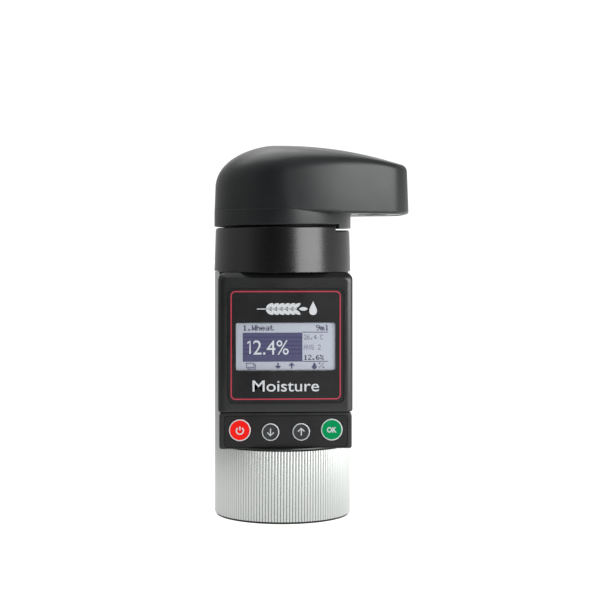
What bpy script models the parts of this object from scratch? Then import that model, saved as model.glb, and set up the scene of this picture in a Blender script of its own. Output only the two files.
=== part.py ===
"""Hand-held grain moisture meter with a screw-down crusher lid, modelled in Blender 4.5.

Run with: blender --background --python part.py
Units are metres. +Z is up, the panel faces -Y and the lid's lever points to +X. The origin is the centre
of the base. Every piece is one closed solid, and neighbours keep a gap of at least FIT.
"""

from math import atan2, cos, hypot, pi, radians, sin, sqrt

import bmesh
import bpy
from mathutils import Matrix, Vector

MM = 0.001
FIT = 0.3 * MM                      # gap kept between touching pieces

# Body tube, a ribbed aluminium extrusion
TUBE_RADIUS = 37.5 * MM
TUBE_INNER_RADIUS = 34.5 * MM
TUBE_BOTTOM = 1.0 * MM
TUBE_TOP = 133.7 * MM
RIB_COUNT = 144
RIB_DEPTH = 0.4 * MM
FRONT_CUT_Y = -12.5 * MM            # the tube's front is cut away above the ledge
LEDGE_Z = 38.5 * MM

# Front housings
DISPLAY_HALF_WIDTH = 36.1 * MM
KEYPAD_HALF_WIDTH = 35.5 * MM
PANEL_FRONT_Y = -31.2 * MM
PANEL_BACK_Y = FRONT_CUT_Y - FIT
PANEL_WALL = 2.2 * MM
PANEL_PLATE = 2.5 * MM
PANEL_BEVEL = 2.3 * MM              # depth and width of the rounded side edges
DISPLAY_TOP_BEVEL = 2.9 * MM
PLAIN_EDGE = 0.4 * MM               # bevel along the seam and the keypad's edges
KEYPAD_BOTTOM = 38.8 * MM
KEYPAD_TOP = 58.6 * MM
DISPLAY_BOTTOM = 58.9 * MM
DISPLAY_TOP = 133.4 * MM
FLANGE_RADIUS = 37.0 * MM
FLANGE_HEIGHT = 1.2 * MM
FLANGE_OVERLAP = 0.6 * MM           # of the flange with the keypad housing

# Printed films, window and screen, as half width, bottom, top and corner radius
OVERLAY = (31.0 * MM, 64.0 * MM, 124.8 * MM, 2.8 * MM)
WINDOW = (27.0 * MM, 80.9 * MM, 106.8 * MM, 1.2 * MM)
FILM = (32.8 * MM, 40.3 * MM, 56.8 * MM, 1.5 * MM)
FILM_THICKNESS = 0.4 * MM
FILM_RECESS = 0.8 * MM

# Keys: name, X, Z, radius
KEYS = (
    ("power_key", -24.6 * MM, 49.4 * MM, 5.85 * MM),
    ("down_key", -8.2 * MM, 48.3 * MM, 4.75 * MM),
    ("up_key", 8.2 * MM, 48.3 * MM, 4.75 * MM),
    ("ok_key", 24.6 * MM, 49.4 * MM, 5.85 * MM),
)
KEY_TRAVEL = 0.4 * MM
KEY_FRONT_Y = -31.5 * MM

# Sample collar and the screw-down lid
LEAD = 2.2 * MM                     # rise of the lid in one turn
COLLAR_BOTTOM = 134.0 * MM
COLLAR_TOP = 158.4 * MM
COLLAR_BASE_RADIUS = 37.9 * MM
COLLAR_RIM_RADIUS = 37.0 * MM
BORE_RADIUS = 30.2 * MM
SHELF_RADIUS = 26.7 * MM
SHELF_TOP = 136.0 * MM
RIM_STEP = radians(-42.4)           # where the collar's ramp has its step, from +X
LID_STEP = radians(-39.2)           # where the lid's ramp has its tab
STEP_WIDTH = radians(0.3)           # angle that a step's face takes up
RIM_GAP = 1.0 * MM
SKIRT_RADIUS = 37.85 * MM
SKIRT_TOP = 167.4 * MM
LID_AXIS_Z = 158.0 * MM             # where the lid's hinge is given
NECK_RADIUS = 29.7 * MM
NECK_BOTTOM = 146.3 * MM
CHAMBER_RADIUS = 24.4 * MM
LOWER_CREST = 137.0 * MM
UPPER_CREST = 141.8 * MM
TOOTH_COUNT = 24
TOOTH_HEIGHT = 1.0 * MM

# Lid shell: a dome that runs out into a flat lever
LID_CROWN = 203.2 * MM
CROWN_RADIUS = 212.0 * MM           # along the lever
CROSS_RADIUS = 110.0 * MM           # from side to side
LID_WALL = 2.4 * MM
LID_DRAFT = 0.035                   # the walls lean in by this much of their height
LEVER_UNDERSIDE = 165.0 * MM
SIDE_RADIUS = 142.0 * MM            # the lever's long sides
SIDE_ANGLE = radians(24.6)          # how far the sides turn before the end corners
CORNER_RADIUS = 16.8 * MM
DOME_SHOULDER = (37.85 * MM, 23.7 * MM)     # width and drop of the rounded shoulder over the dome
LEVER_SHOULDER = (5.8 * MM, 5.0 * MM)       # and at the lever's end
SHOULDER_END = 0.78                         # where along the outline the lever's shoulder is reached
SHOULDER_POWER = 0.943                      # 1 makes the shoulder an ellipse, less makes it fuller
DOME_STEPS = 12                             # sides of a quarter of the dome
BOSS_TOP = 195.2 * MM                       # of the lever's screw bosses, inside the shell's top wall

# Base
BASE_RADIUS = 36.9 * MM
BASE_FLANGE = 0.7 * MM
SPIGOT_RADIUS = 34.2 * MM
HATCH = (15.7 * MM, 28.5 * MM)      # half width and back edge
HATCH_AXIS = (5.9 * MM, 2.1 * MM)   # Y and Z of the hinge
BATTERY_SIZE = (26.5 * MM, 17.5 * MM, 46.0 * MM)
BATTERY_Y = 16.8 * MM
BATTERY_BOTTOM = 5.5 * MM
BASE_SCREW_CIRCLE = 31.6 * MM

# Fasteners inside
BOARD_SCREWS = ((-29.5 * MM, 65.5 * MM), (29.5 * MM, 65.5 * MM),
                (-29.5 * MM, 114.0 * MM), (29.5 * MM, 114.0 * MM))     # X and Z
CUP_SCREW_CIRCLE = 28.6 * MM
BURR_SCREW_CIRCLE = 17.0 * MM
LID_SCREW_CIRCLE = 32.6 * MM
UNDERPLATE_SCREWS = ((50.0 * MM, -13.0 * MM), (50.0 * MM, 13.0 * MM))  # X and Y


# ---------------------------------------------------------------- materials and helpers

FINISHES = {                        # colour, roughness, metallic
    "anodised_aluminium": ((0.62, 0.64, 0.63), 0.4, 1.0),
    "turned_aluminium": ((0.70, 0.71, 0.72), 0.3, 1.0),
    "hardened_steel": ((0.45, 0.45, 0.46), 0.35, 1.0),
    "zinc_screw": ((0.60, 0.60, 0.58), 0.35, 1.0),
    "brass": ((0.72, 0.52, 0.22), 0.3, 1.0),
    "black_abs": ((0.030, 0.031, 0.033), 0.45, 0.0),
    "charcoal_nylon": ((0.045, 0.047, 0.050), 0.5, 0.0),
    "printed_film": ((0.020, 0.020, 0.022), 0.4, 0.0),
    "clear_acrylic": ((0.80, 0.84, 0.88), 0.05, 0.0),
    "lcd_glass": ((0.55, 0.60, 0.68), 0.2, 0.0),
    "white_diffuser": ((0.85, 0.86, 0.88), 0.5, 0.0),
    "circuit_board": ((0.02, 0.16, 0.07), 0.5, 0.0),
    "red_key": ((0.80, 0.03, 0.02), 0.4, 0.0),
    "green_key": ((0.01, 0.30, 0.12), 0.4, 0.0),
    "black_key": ((0.02, 0.02, 0.022), 0.4, 0.0),
    "switch_body": ((0.05, 0.05, 0.05), 0.5, 0.0),
    "nitrile_rubber": ((0.02, 0.02, 0.02), 0.8, 0.0),
    "acetal": ((0.80, 0.79, 0.75), 0.5, 0.0),
    "battery_jacket": ((0.10, 0.11, 0.14), 0.3, 0.6),
    "wire_jacket": ((0.45, 0.02, 0.02), 0.5, 0.0),
}


def clear_scene():
    for old in list(bpy.data.objects):
        bpy.data.objects.remove(old, do_unlink=True)


def finish_material(key):
    material = bpy.data.materials.get(key)
    if material:
        return material
    colour, roughness, metallic = FINISHES[key]
    material = bpy.data.materials.new(key)
    material.use_nodes = True
    shader = material.node_tree.nodes["Principled BSDF"]
    shader.inputs["Base Color"].default_value = (*colour, 1.0)
    shader.inputs["Roughness"].default_value = roughness
    shader.inputs["Metallic"].default_value = metallic
    material.diffuse_color = (*colour, 1.0)
    return material


def solid(name, shape, finish, smooth=30):
    """Turn a bmesh into a named object with outward faces."""
    bmesh.ops.recalc_face_normals(shape, faces=shape.faces)
    mesh = bpy.data.meshes.new(name)
    shape.to_mesh(mesh)
    shape.free()
    mesh.shade_smooth()
    mesh.set_sharp_from_angle(angle=radians(smooth))
    mesh.materials.append(finish_material(finish))
    made = bpy.data.objects.new(name, mesh)
    bpy.context.scene.collection.objects.link(made)
    return made


def loft(name, rings, finish):
    """Bridge rings of points that have the same count, and cap both ends."""
    shape = bmesh.new()
    loops = [[shape.verts.new(point) for point in ring] for ring in rings]
    count = len(rings[0])
    for lower, upper in zip(loops, loops[1:]):
        for i in range(count):
            j = (i + 1) % count
            shape.faces.new((lower[i], lower[j], upper[j], upper[i]))
    shape.faces.new(list(reversed(loops[0])))
    shape.faces.new(loops[-1])
    return solid(name, shape, finish)


def turned(name, profile, finish, segments=48, centre=(0.0, 0.0)):
    """Turn a closed profile of (radius, z) about a vertical axis; radius 0 is a point on the axis."""
    shape = bmesh.new()
    rings = []
    for radius, z in profile:
        if radius == 0:
            rings.append([shape.verts.new((centre[0], centre[1], z))] * segments)
            continue
        rings.append([
            shape.verts.new((centre[0] + radius * cos(a), centre[1] + radius * sin(a), z))
            for a in (2 * pi * (k + 0.5) / segments for k in range(segments))])
    for i, ring in enumerate(rings):
        following = rings[(i + 1) % len(rings)]
        for k in range(segments):
            j = (k + 1) % segments
            corners = []
            for corner in (ring[k], ring[j], following[j], following[k]):
                if corner not in corners:
                    corners.append(corner)
            if len(corners) > 2:
                shape.faces.new(corners)
    return solid(name, shape, finish)


def box(name, low, high, finish):
    shape = bmesh.new()
    bmesh.ops.create_cube(shape, size=1.0)
    size = [b - a for a, b in zip(low, high)]
    middle = [(a + b) / 2 for a, b in zip(low, high)]
    bmesh.ops.scale(shape, vec=size, verts=shape.verts)
    bmesh.ops.translate(shape, vec=middle, verts=shape.verts)
    return solid(name, shape, finish)


def rounded_rectangle(half_width, bottom, top, radius, steps=4, top_radius=None):
    """Points of a rounded rectangle in the panel's plane, as (x, z)."""
    corners = ((half_width, top, 0), (-half_width, top, 1), (-half_width, bottom, 2), (half_width, bottom, 3))
    points = []
    for x, z, quarter in corners:
        bend = top_radius if top_radius and quarter < 2 else radius
        centre_x = x - bend if x > 0 else x + bend
        centre_z = z - bend if quarter < 2 else z + bend
        for k in range(steps + 1):
            angle = (quarter + k / steps) * pi / 2
            points.append((centre_x + bend * cos(angle), centre_z + bend * sin(angle)))
    return points


def panel_ring(outline, y):
    return [(x, y, z) for x, z in outline]


def panel_prism(name, outline, front_y, back_y, finish):
    """A plate lying in the panel's plane."""
    return loft(name, [panel_ring(outline, front_y), panel_ring(outline, back_y)], finish)


def grown(frame, by):
    """A rounded rectangle's four sizes, grown by a distance on every side."""
    half_width, bottom, top, radius = frame
    return (half_width + by, bottom - by, top + by, radius + by)


def turned_sideways(name, profile, finish, x, z, segments):
    """Turn a profile of (radius, y) about an axis along Y through x and z."""
    made = turned(name, profile, finish, segments)
    upright_to_panel = Matrix(((1, 0, 0, x), (0, 0, 1, 0), (0, 1, 0, z), (0, 0, 0, 1)))
    made.data.transform(upright_to_panel)
    made.data.flip_normals()
    return made


def apply_tool(target, tool, operation):
    """Cut, join or trim with another solid, which stays as a hidden guide."""
    tool.hide_render = True
    tool.display_type = 'WIRE'
    step = target.modifiers.new(tool.name, 'BOOLEAN')
    step.operation = operation
    step.solver = 'EXACT'
    step.object = tool
    return target


def cut(target, tool):
    return apply_tool(target, tool, 'DIFFERENCE')


def join(target, tool):
    return apply_tool(target, tool, 'UNION')


def drill(target, name, x, y, radius, low, high, segments=12):
    """A vertical hole."""
    profile = [(0, low), (radius, low), (radius, high), (0, high)]
    cut(target, turned(name, profile, "zinc_screw", segments, (x, y)))


def pillar(target, name, x, y, radius, low, high, segments=12):
    """A vertical boss joined to the target."""
    profile = [(0, low), (radius, low), (radius, high), (0, high)]
    join(target, turned(name, profile, "black_abs", segments, (x, y)))


def upright_screw(name, x, y, head_radius, shank_radius, head_end, head_face, tip, segments=12):
    """A screw along Z: the head runs from head_end to head_face, and the shank from there to the tip."""
    profile = [(0, head_end), (head_radius, head_end), (head_radius, head_face),
               (shank_radius, head_face), (shank_radius, tip), (0, tip)]
    return turned(name, profile, "zinc_screw", segments, (x, y))


def on_circle(radius, angle):
    return radius * cos(angle), radius * sin(angle)


# ---------------------------------------------------------------- body tube and base

def ribbed_outline():
    """The outside of the extrusion: ridges with a groove between each two."""
    points = []
    for k in range(2 * RIB_COUNT):
        radius = TUBE_RADIUS if k % 2 else TUBE_RADIUS - RIB_DEPTH
        points.append(on_circle(radius, pi * k / RIB_COUNT))
    return points


def make_body_tube():
    outline = ribbed_outline()
    tube = loft("body_tube", [[(x, y, z) for x, y in outline] for z in (TUBE_BOTTOM, TUBE_TOP)],
                "anodised_aluminium")
    inner = [(0, -5 * MM), (TUBE_INNER_RADIUS, -5 * MM), (TUBE_INNER_RADIUS, 140 * MM), (0, 140 * MM)]
    cut(tube, turned("tube_bore", inner, "anodised_aluminium"))
    cut(tube, box("front_opening", (-45 * MM, -45 * MM, LEDGE_Z), (45 * MM, FRONT_CUT_Y, 145 * MM),
                  "anodised_aluminium"))
    for k in range(4):
        x, y = on_circle(BASE_SCREW_CIRCLE, pi / 4 + k * pi / 2)
        pillar(tube, f"screw_port_{k + 1}", x, y, 3.2 * MM, 7.0 * MM, 30.0 * MM)
        drill(tube, f"port_hole_{k + 1}", x, y, 1.6 * MM, 6.0 * MM, 25.0 * MM)


def make_base():
    cap = turned("base_cap", [(0, 0), (BASE_RADIUS, 0), (BASE_RADIUS, BASE_FLANGE), (SPIGOT_RADIUS, BASE_FLANGE),
                              (SPIGOT_RADIUS, 6.5 * MM), (0, 6.5 * MM)], "black_abs")
    hinge_y, hinge_z = HATCH_AXIS
    half_width, back_y = HATCH
    cut(cap, box("hatch_opening", (-half_width - FIT, 3.6 * MM, -1 * MM),
                 (half_width + FIT, back_y + FIT, 8 * MM), "black_abs"))
    pin_hole = turned("pin_hole", [(0, -19 * MM), (1.1 * MM, -19 * MM), (1.1 * MM, 19 * MM), (0, 19 * MM)],
                      "black_abs", 12)
    pin_hole.data.transform(Matrix.Translation((0, hinge_y, hinge_z)) @ Matrix.Rotation(pi / 2, 4, 'Y'))
    cut(cap, pin_hole)
    for k in range(4):
        x, y = on_circle(BASE_SCREW_CIRCLE, pi / 4 + k * pi / 2)
        drill(cap, f"cap_hole_{k + 1}", x, y, 1.6 * MM, 2.0 * MM, 8.0 * MM)
        drill(cap, f"cap_sink_{k + 1}", x, y, 2.9 * MM, -1.0 * MM, 2.9 * MM)
        upright_screw(f"base_screw_{k + 1}", x, y, 2.5 * MM, 1.25 * MM, 0.6 * MM, 2.5 * MM, 18 * MM)


def make_hatch():
    """The hatch's barrel turns on a steel pin held in the base cap."""
    hinge_y, hinge_z = HATCH_AXIS
    half_width, back_y = HATCH
    hatch = box("battery_hatch", (-half_width, hinge_y, 0.3 * MM), (half_width, back_y, 2.7 * MM), "black_abs")
    sideways = Matrix.Translation((0, hinge_y, hinge_z)) @ Matrix.Rotation(pi / 2, 4, 'Y')
    reach = half_width - 0.1 * MM
    barrel = turned("hatch_barrel", [(0, -reach), (1.8 * MM, -reach), (1.8 * MM, reach), (0, reach)],
                    "black_abs", 16)
    bore = turned("barrel_bore", [(0, -20 * MM), (1.1 * MM, -20 * MM), (1.1 * MM, 20 * MM), (0, 20 * MM)],
                  "black_abs", 12)
    pin = turned("hatch_hinge_pin", [(0, -18.5 * MM), (0.8 * MM, -18.5 * MM), (0.8 * MM, 18.5 * MM),
                                     (0, 18.5 * MM)], "hardened_steel", 12)
    for piece in (barrel, bore):
        piece.data.transform(sideways)
    pin.data.transform(Matrix.Rotation(pi / 2, 4, 'Y'))
    pin.location = (0, hinge_y, hinge_z)
    join(hatch, barrel)
    cut(hatch, bore)
    set_origin(hatch, (0, hinge_y, hinge_z))


def set_origin(made, place):
    """Put an object's origin on its joint's axis without moving the piece."""
    made.data.transform(Matrix.Translation(-Vector(place)))
    made.location = place


def make_battery():
    width, depth, height = BATTERY_SIZE
    top = BATTERY_BOTTOM + height
    outline = rounded_rectangle(width / 2, BATTERY_Y - depth / 2, BATTERY_Y + depth / 2, 2.0 * MM, 2)
    battery = loft("battery", [[(x, y, z) for x, y in outline] for z in (BATTERY_BOTTOM, top)],
                   "battery_jacket")
    for name, x, radius in (("small_terminal", -6.35 * MM, 2.8 * MM), ("large_terminal", 6.35 * MM, 3.6 * MM)):
        pillar(battery, name, x, BATTERY_Y, radius, top - 1 * MM, top + 2.5 * MM)
    outer = rounded_rectangle(width / 2 + 4.2 * MM, BATTERY_Y - depth / 2 - 1.6 * MM,
                              BATTERY_Y + depth / 2 + 1.6 * MM, 2.5 * MM, 2)
    inner = rounded_rectangle(width / 2 + 0.4 * MM, BATTERY_Y - depth / 2 - 0.4 * MM,
                              BATTERY_Y + depth / 2 + 0.4 * MM, 2.2 * MM, 2)
    sleeve = loft("battery_sleeve", [[(x, y, z) for x, y in outer] for z in (7 * MM, 48 * MM)], "black_abs")
    cut(sleeve, loft("sleeve_inside", [[(x, y, z) for x, y in inner] for z in (6 * MM, 49 * MM)],
                     "black_abs"))
    box("battery_connector", (-12.5 * MM, BATTERY_Y - 7 * MM, top + 2.8 * MM),
        (12.5 * MM, BATTERY_Y + 7 * MM, top + 6 * MM), "nitrile_rubber")
    lead_top = (0, -22.0 * MM, 70 * MM)
    wire("battery_lead", ((0, BATTERY_Y, top + 6.3 * MM), (0, BATTERY_Y - 1 * MM, top + 12 * MM),
                          (2 * MM, 6 * MM, 70 * MM), (1 * MM, -8 * MM, 73 * MM),
                          (0, -17 * MM, 71 * MM), lead_top), 1.1 * MM)


def wire(name, points, radius):
    """A round wire through a few points, sampled from a smooth curve."""
    curve = bpy.data.curves.new(name, 'CURVE')
    curve.dimensions = '3D'
    curve.bevel_depth = radius
    curve.bevel_resolution = 2
    curve.use_fill_caps = True
    knots = [Vector(point) for point in points]
    knots = [2 * knots[0] - knots[1]] + knots + [2 * knots[-1] - knots[-2]]
    places = []
    for a, b, c, d in zip(knots, knots[1:], knots[2:], knots[3:]):
        for k in range(3):
            t = k / 3
            places.append(0.5 * (2 * b + (c - a) * t + (2 * a - 5 * b + 4 * c - d) * t ** 2
                                 + (3 * b - a - 3 * c + d) * t ** 3))
    places.append(knots[-2])
    spline = curve.splines.new('POLY')
    spline.points.add(len(places) - 1)
    for point, place in zip(spline.points, places):
        point.co = (*place, 1.0)
    curve.materials.append(finish_material("wire_jacket"))
    made = bpy.data.objects.new(name, curve)
    bpy.context.scene.collection.objects.link(made)
    return made


# ---------------------------------------------------------------- display and keypad

def housing_shell(name, half_width, bottom, top, side_bevel, top_bevel, top_radius):
    """A shallow tray with a bevelled front, open at the back."""
    full = rounded_rectangle(half_width, bottom, top, 1.2 * MM, top_radius=top_radius)
    inset = rounded_rectangle(half_width - side_bevel, bottom + PLAIN_EDGE, top - top_bevel, 1.2 * MM,
                              top_radius=2.4 * MM)
    rings = [panel_ring(inset, PANEL_FRONT_Y), panel_ring(full, PANEL_FRONT_Y + side_bevel),
             panel_ring(full, PANEL_BACK_Y)]
    shell = loft(name, rings, "black_abs")
    cut(shell, box(f"{name}_inside", (-half_width + PANEL_WALL, PANEL_FRONT_Y + PANEL_PLATE, bottom + 2 * MM),
                   (half_width - PANEL_WALL, 0, top - 2 * MM), "black_abs"))
    return shell


def make_display():
    housing = housing_shell("display_housing", DISPLAY_HALF_WIDTH, DISPLAY_BOTTOM, DISPLAY_TOP, PANEL_BEVEL, DISPLAY_TOP_BEVEL,
                            4.0 * MM)
    cut(housing, panel_prism("overlay_recess", rounded_rectangle(*grown(OVERLAY, FIT)),
                             PANEL_FRONT_Y - 1 * MM, PANEL_FRONT_Y + FILM_RECESS, "black_abs"))
    cut(housing, panel_prism("screen_opening", rounded_rectangle(*grown(WINDOW, FIT)),
                             PANEL_FRONT_Y - 1 * MM, PANEL_FRONT_Y + 5 * MM, "black_abs"))
    cup_way = [(0, 120 * MM), (27.0 * MM, 120 * MM), (27.0 * MM, 140 * MM), (0, 140 * MM)]
    cut(housing, turned("cup_way", cup_way, "black_abs"))
    plate_back = PANEL_FRONT_Y + PANEL_PLATE
    board_y = -24.5 * MM
    for k, (x, z) in enumerate(BOARD_SCREWS):
        boss = [(0, plate_back - 1 * MM), (2.6 * MM, plate_back - 1 * MM), (2.6 * MM, board_y - FIT),
                (0, board_y - FIT)]
        join(housing, turned_sideways(f"board_boss_{k + 1}", boss, "black_abs", x, z, 12))
        hole = [(0, plate_back + 0.4 * MM), (1.3 * MM, plate_back + 0.4 * MM), (1.3 * MM, -20 * MM),
                (0, -20 * MM)]
        cut(housing, turned_sideways(f"boss_hole_{k + 1}", hole, "black_abs", x, z, 12))
    front = PANEL_FRONT_Y + 0.1 * MM
    overlay = panel_prism("display_overlay", rounded_rectangle(*OVERLAY), front, front + FILM_THICKNESS,
                          "printed_film")
    cut(overlay, panel_prism("overlay_window", rounded_rectangle(*WINDOW), front - 1 * MM, front + 2 * MM,
                             "printed_film"))
    panel_prism("display_window", rounded_rectangle(*grown(WINDOW, -0.2 * MM)), front + 0.1 * MM,
                front + 1.1 * MM, "clear_acrylic")
    half_width, bottom, top, _ = WINDOW
    screen_front = front + 1.4 * MM
    box("lcd_screen", (-half_width + 0.2 * MM, screen_front, bottom + 0.2 * MM),
        (half_width - 0.2 * MM, screen_front + 2.0 * MM, top - 0.2 * MM), "lcd_glass")
    box("lcd_backlight", (-29 * MM, screen_front + 2.3 * MM, 77 * MM), (29 * MM, board_y - FIT, 111 * MM),
        "white_diffuser")


def make_main_board():
    front, back = -24.5 * MM, -22.9 * MM
    board = box("main_board", (-32.5 * MM, front, 62.5 * MM), (32.5 * MM, back, 117 * MM), "circuit_board")
    for k, (x, z) in enumerate(BOARD_SCREWS):
        hole = [(0, front - 2 * MM), (1.4 * MM, front - 2 * MM), (1.4 * MM, back + 2 * MM), (0, back + 2 * MM)]
        cut(board, turned_sideways(f"board_hole_{k + 1}", hole, "circuit_board", x, z, 12))
        screw = [(0, -28.0 * MM), (1.0 * MM, -28.0 * MM), (1.0 * MM, back + FIT), (2.2 * MM, back + FIT),
                 (2.2 * MM, back + 1.8 * MM), (0, back + 1.8 * MM)]
        turned_sideways(f"board_screw_{k + 1}", screw, "zinc_screw", x, z, 12)


def make_keypad():
    housing = housing_shell("keypad_housing", KEYPAD_HALF_WIDTH, KEYPAD_BOTTOM + FLANGE_OVERLAP, KEYPAD_TOP, PLAIN_EDGE,
                            PLAIN_EDGE, 1.2 * MM)
    edge = atan2(PANEL_BACK_Y, sqrt(FLANGE_RADIUS ** 2 - PANEL_BACK_Y ** 2))
    arc = [on_circle(FLANGE_RADIUS, edge - k * (pi + 2 * edge) / 40) for k in range(41)]
    join(housing, loft("keypad_flange", [[(x, y, z) for x, y in arc]
                                         for z in (KEYPAD_BOTTOM, KEYPAD_BOTTOM + FLANGE_HEIGHT)],
                       "black_abs"))
    cut(housing, panel_prism("film_recess", rounded_rectangle(*grown(FILM, FIT)), PANEL_FRONT_Y - 1 * MM,
                             PANEL_FRONT_Y + FILM_RECESS, "black_abs"))
    front = PANEL_FRONT_Y + 0.1 * MM
    film = panel_prism("keypad_film", rounded_rectangle(*FILM), front, front + FILM_THICKNESS, "printed_film")
    for name, x, z, radius in KEYS:
        hole = [(0, -40 * MM), (radius + FIT, -40 * MM), (radius + FIT, -25 * MM), (0, -25 * MM)]
        cut(housing, turned_sideways(f"{name}_way", hole, "black_abs", x, z, 24))
        cut(film, turned_sideways(f"{name}_ring", hole, "printed_film", x, z, 24))
    box("key_board", (-32 * MM, -22.0 * MM, 41.6 * MM), (32 * MM, -20.4 * MM, 56.2 * MM), "circuit_board")


def make_keys():
    """Each key is a capped plunger with a flange behind the panel and a dome switch behind it."""
    plate_back = PANEL_FRONT_Y + PANEL_PLATE
    stem_end = -26.0 * MM
    finishes = {"power_key": "red_key", "ok_key": "green_key"}
    for name, x, z, radius in KEYS:
        cap = [(0, KEY_FRONT_Y), (radius - 0.3 * MM, KEY_FRONT_Y), (radius, KEY_FRONT_Y + 0.3 * MM),
               (radius, plate_back + FIT), (radius + 0.7 * MM, plate_back + FIT),
               (radius + 0.7 * MM, plate_back + FIT + 0.7 * MM), (2.0 * MM, plate_back + FIT + 0.7 * MM),
               (2.0 * MM, stem_end), (0, stem_end)]
        key = turned_sideways(name, cap, finishes.get(name, "black_key"), x, z, 24)
        set_origin(key, (x, KEY_FRONT_Y, z))
        switch = box(name.replace("_key", "_switch"), (x - 3 * MM, -24.3 * MM, z - 3 * MM),
                     (x + 3 * MM, -22.0 * MM - FIT, z + 3 * MM), "switch_body")
        plunger_front = stem_end + KEY_TRAVEL + 0.1 * MM
        plunger = [(0, plunger_front), (1.7 * MM, plunger_front), (1.7 * MM, -23 * MM), (0, -23 * MM)]
        join(switch, turned_sideways(f"{name}_plunger", plunger, "switch_body", x, z, 12))


# ---------------------------------------------------------------- sample chamber

def ramp_tool(name, step_angle, low_z, far_z, segments=48):
    """A ring bounded by a one-turn helical ramp with a steep step, and by a plane at far_z."""
    shape = bmesh.new()
    sections = []
    for k in range(segments + 1):
        share = k / segments
        angle = step_angle + (2 * pi - STEP_WIDTH) * share
        inner = on_circle(20 * MM, angle)
        outer = on_circle(50 * MM, angle)
        ramp_z = low_z + LEAD * share
        corners = ((*inner, ramp_z), (*outer, ramp_z), (*outer, far_z), (*inner, far_z))
        sections.append([shape.verts.new(corner) for corner in corners])
    for one, two in zip(sections, sections[1:] + sections[:1]):
        for i in range(4):
            j = (i + 1) % 4
            shape.faces.new((one[i], two[i], two[j], one[j]))
    return solid(name, shape, "black_abs")


def make_collar():
    top = COLLAR_TOP + 0.2 * MM
    collar = turned("collar", [(SHELF_RADIUS, COLLAR_BOTTOM), (COLLAR_BASE_RADIUS, COLLAR_BOTTOM),
                               (COLLAR_RIM_RADIUS, top), (BORE_RADIUS, top), (BORE_RADIUS, SHELF_TOP),
                               (SHELF_RADIUS, SHELF_TOP)], "black_abs")
    spigot_bottom = COLLAR_BOTTOM - 4 * MM
    spigot = turned("collar_spigot", [(31.5 * MM, spigot_bottom), (SPIGOT_RADIUS, spigot_bottom),
                                      (SPIGOT_RADIUS, COLLAR_BOTTOM + 1 * MM),
                                      (31.5 * MM, COLLAR_BOTTOM + 1 * MM)], "black_abs")
    cut(spigot, box("spigot_front", (-45 * MM, -45 * MM, 120 * MM),
                    (45 * MM, FRONT_CUT_Y + 0.5 * MM, COLLAR_BOTTOM + 0.5 * MM), "black_abs"))
    join(collar, spigot)
    cut(collar, ramp_tool("rim_ramp", RIM_STEP, COLLAR_TOP - LEAD, 175 * MM))
    for k in range(3):
        x, y = on_circle(CUP_SCREW_CIRCLE, radians(30 + 60 * k))
        drill(collar, f"shelf_hole_{k + 1}", x, y, 1.3 * MM, COLLAR_BOTTOM - 1 * MM, SHELF_TOP + 1 * MM)


def make_cup():
    """The sample cup hangs in the collar's shelf; its wall closes the chamber around both burrs."""
    cup = turned("grain_cup", [(6.3 * MM, 127 * MM), (26.4 * MM, 127 * MM), (26.4 * MM, 136.5 * MM),
                               (29.9 * MM, 136.5 * MM), (29.9 * MM, 145.3 * MM),
                               (CHAMBER_RADIUS, 145.3 * MM), (CHAMBER_RADIUS, 133 * MM), (6.3 * MM, 133 * MM)],
                 "turned_aluminium", 48)
    for k in range(3):
        x, y = on_circle(CUP_SCREW_CIRCLE, radians(30 + 60 * k))
        drill(cup, f"cup_hole_{k + 1}", x, y, 1.3 * MM, 135 * MM, 142 * MM)
        upright_screw(f"cup_screw_{k + 1}", x, y, 1.7 * MM, 1.0 * MM, 132.0 * MM, COLLAR_BOTTOM - FIT, 141.5 * MM)
    insulator = [(3.8 * MM, 123 * MM), (6.0 * MM, 123 * MM), (6.0 * MM, 133.3 * MM), (7.8 * MM, 133.3 * MM),
                 (7.8 * MM, 136.0 * MM), (3.8 * MM, 136.0 * MM)]
    turned("electrode_insulator", insulator, "acetal", 24)
    electrode = [(0, 116 * MM), (1.5 * MM, 116 * MM), (1.5 * MM, 123.5 * MM), (3.5 * MM, 123.5 * MM),
                 (3.5 * MM, 136.2 * MM), (2.9 * MM, 136.8 * MM), (0, 136.8 * MM)]
    turned("centre_electrode", electrode, "hardened_steel", 24)
    turned("electrode_nut", [(1.8 * MM, 118 * MM), (3.2 * MM, 118 * MM), (3.2 * MM, 120.2 * MM),
                             (1.8 * MM, 120.2 * MM)], "brass", 6)
    turned("cell_board", [(1.9 * MM, 120.5 * MM), (25 * MM, 120.5 * MM), (25 * MM, 122.1 * MM),
                          (1.9 * MM, 122.1 * MM)], "circuit_board", 20)
    turned("temperature_sensor", [(0, 122.4 * MM), (1.3 * MM, 122.4 * MM), (1.3 * MM, 125.9 * MM),
                                  (0, 126.7 * MM)], "brass", 12, (15 * MM, 0))


def burr(name, inner, outer, crest, back, hole_radius=None):
    """A crushing disc: radial teeth on one face, flat on the other."""
    valley = crest + (TOOTH_HEIGHT if back > crest else -TOOTH_HEIGHT)
    shape = bmesh.new()
    toothed = []
    flat = []
    for k in range(2 * TOOTH_COUNT):
        angle = pi * k / TOOTH_COUNT
        z = crest if k % 2 else valley
        toothed.append([shape.verts.new((*on_circle(r, angle), z)) for r in (inner, outer)])
        flat.append([shape.verts.new((*on_circle(r, angle), back)) for r in (inner, outer)])
    count = 2 * TOOTH_COUNT
    for k in range(count):
        j = (k + 1) % count
        shape.faces.new((toothed[k][0], toothed[k][1], toothed[j][1], toothed[j][0]))
        shape.faces.new((flat[k][0], flat[j][0], flat[j][1], flat[k][1]))
        shape.faces.new((toothed[k][0], toothed[j][0], flat[j][0], flat[k][0]))
        shape.faces.new((toothed[k][1], flat[k][1], flat[j][1], toothed[j][1]))
    return solid(name, shape, "hardened_steel")


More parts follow.
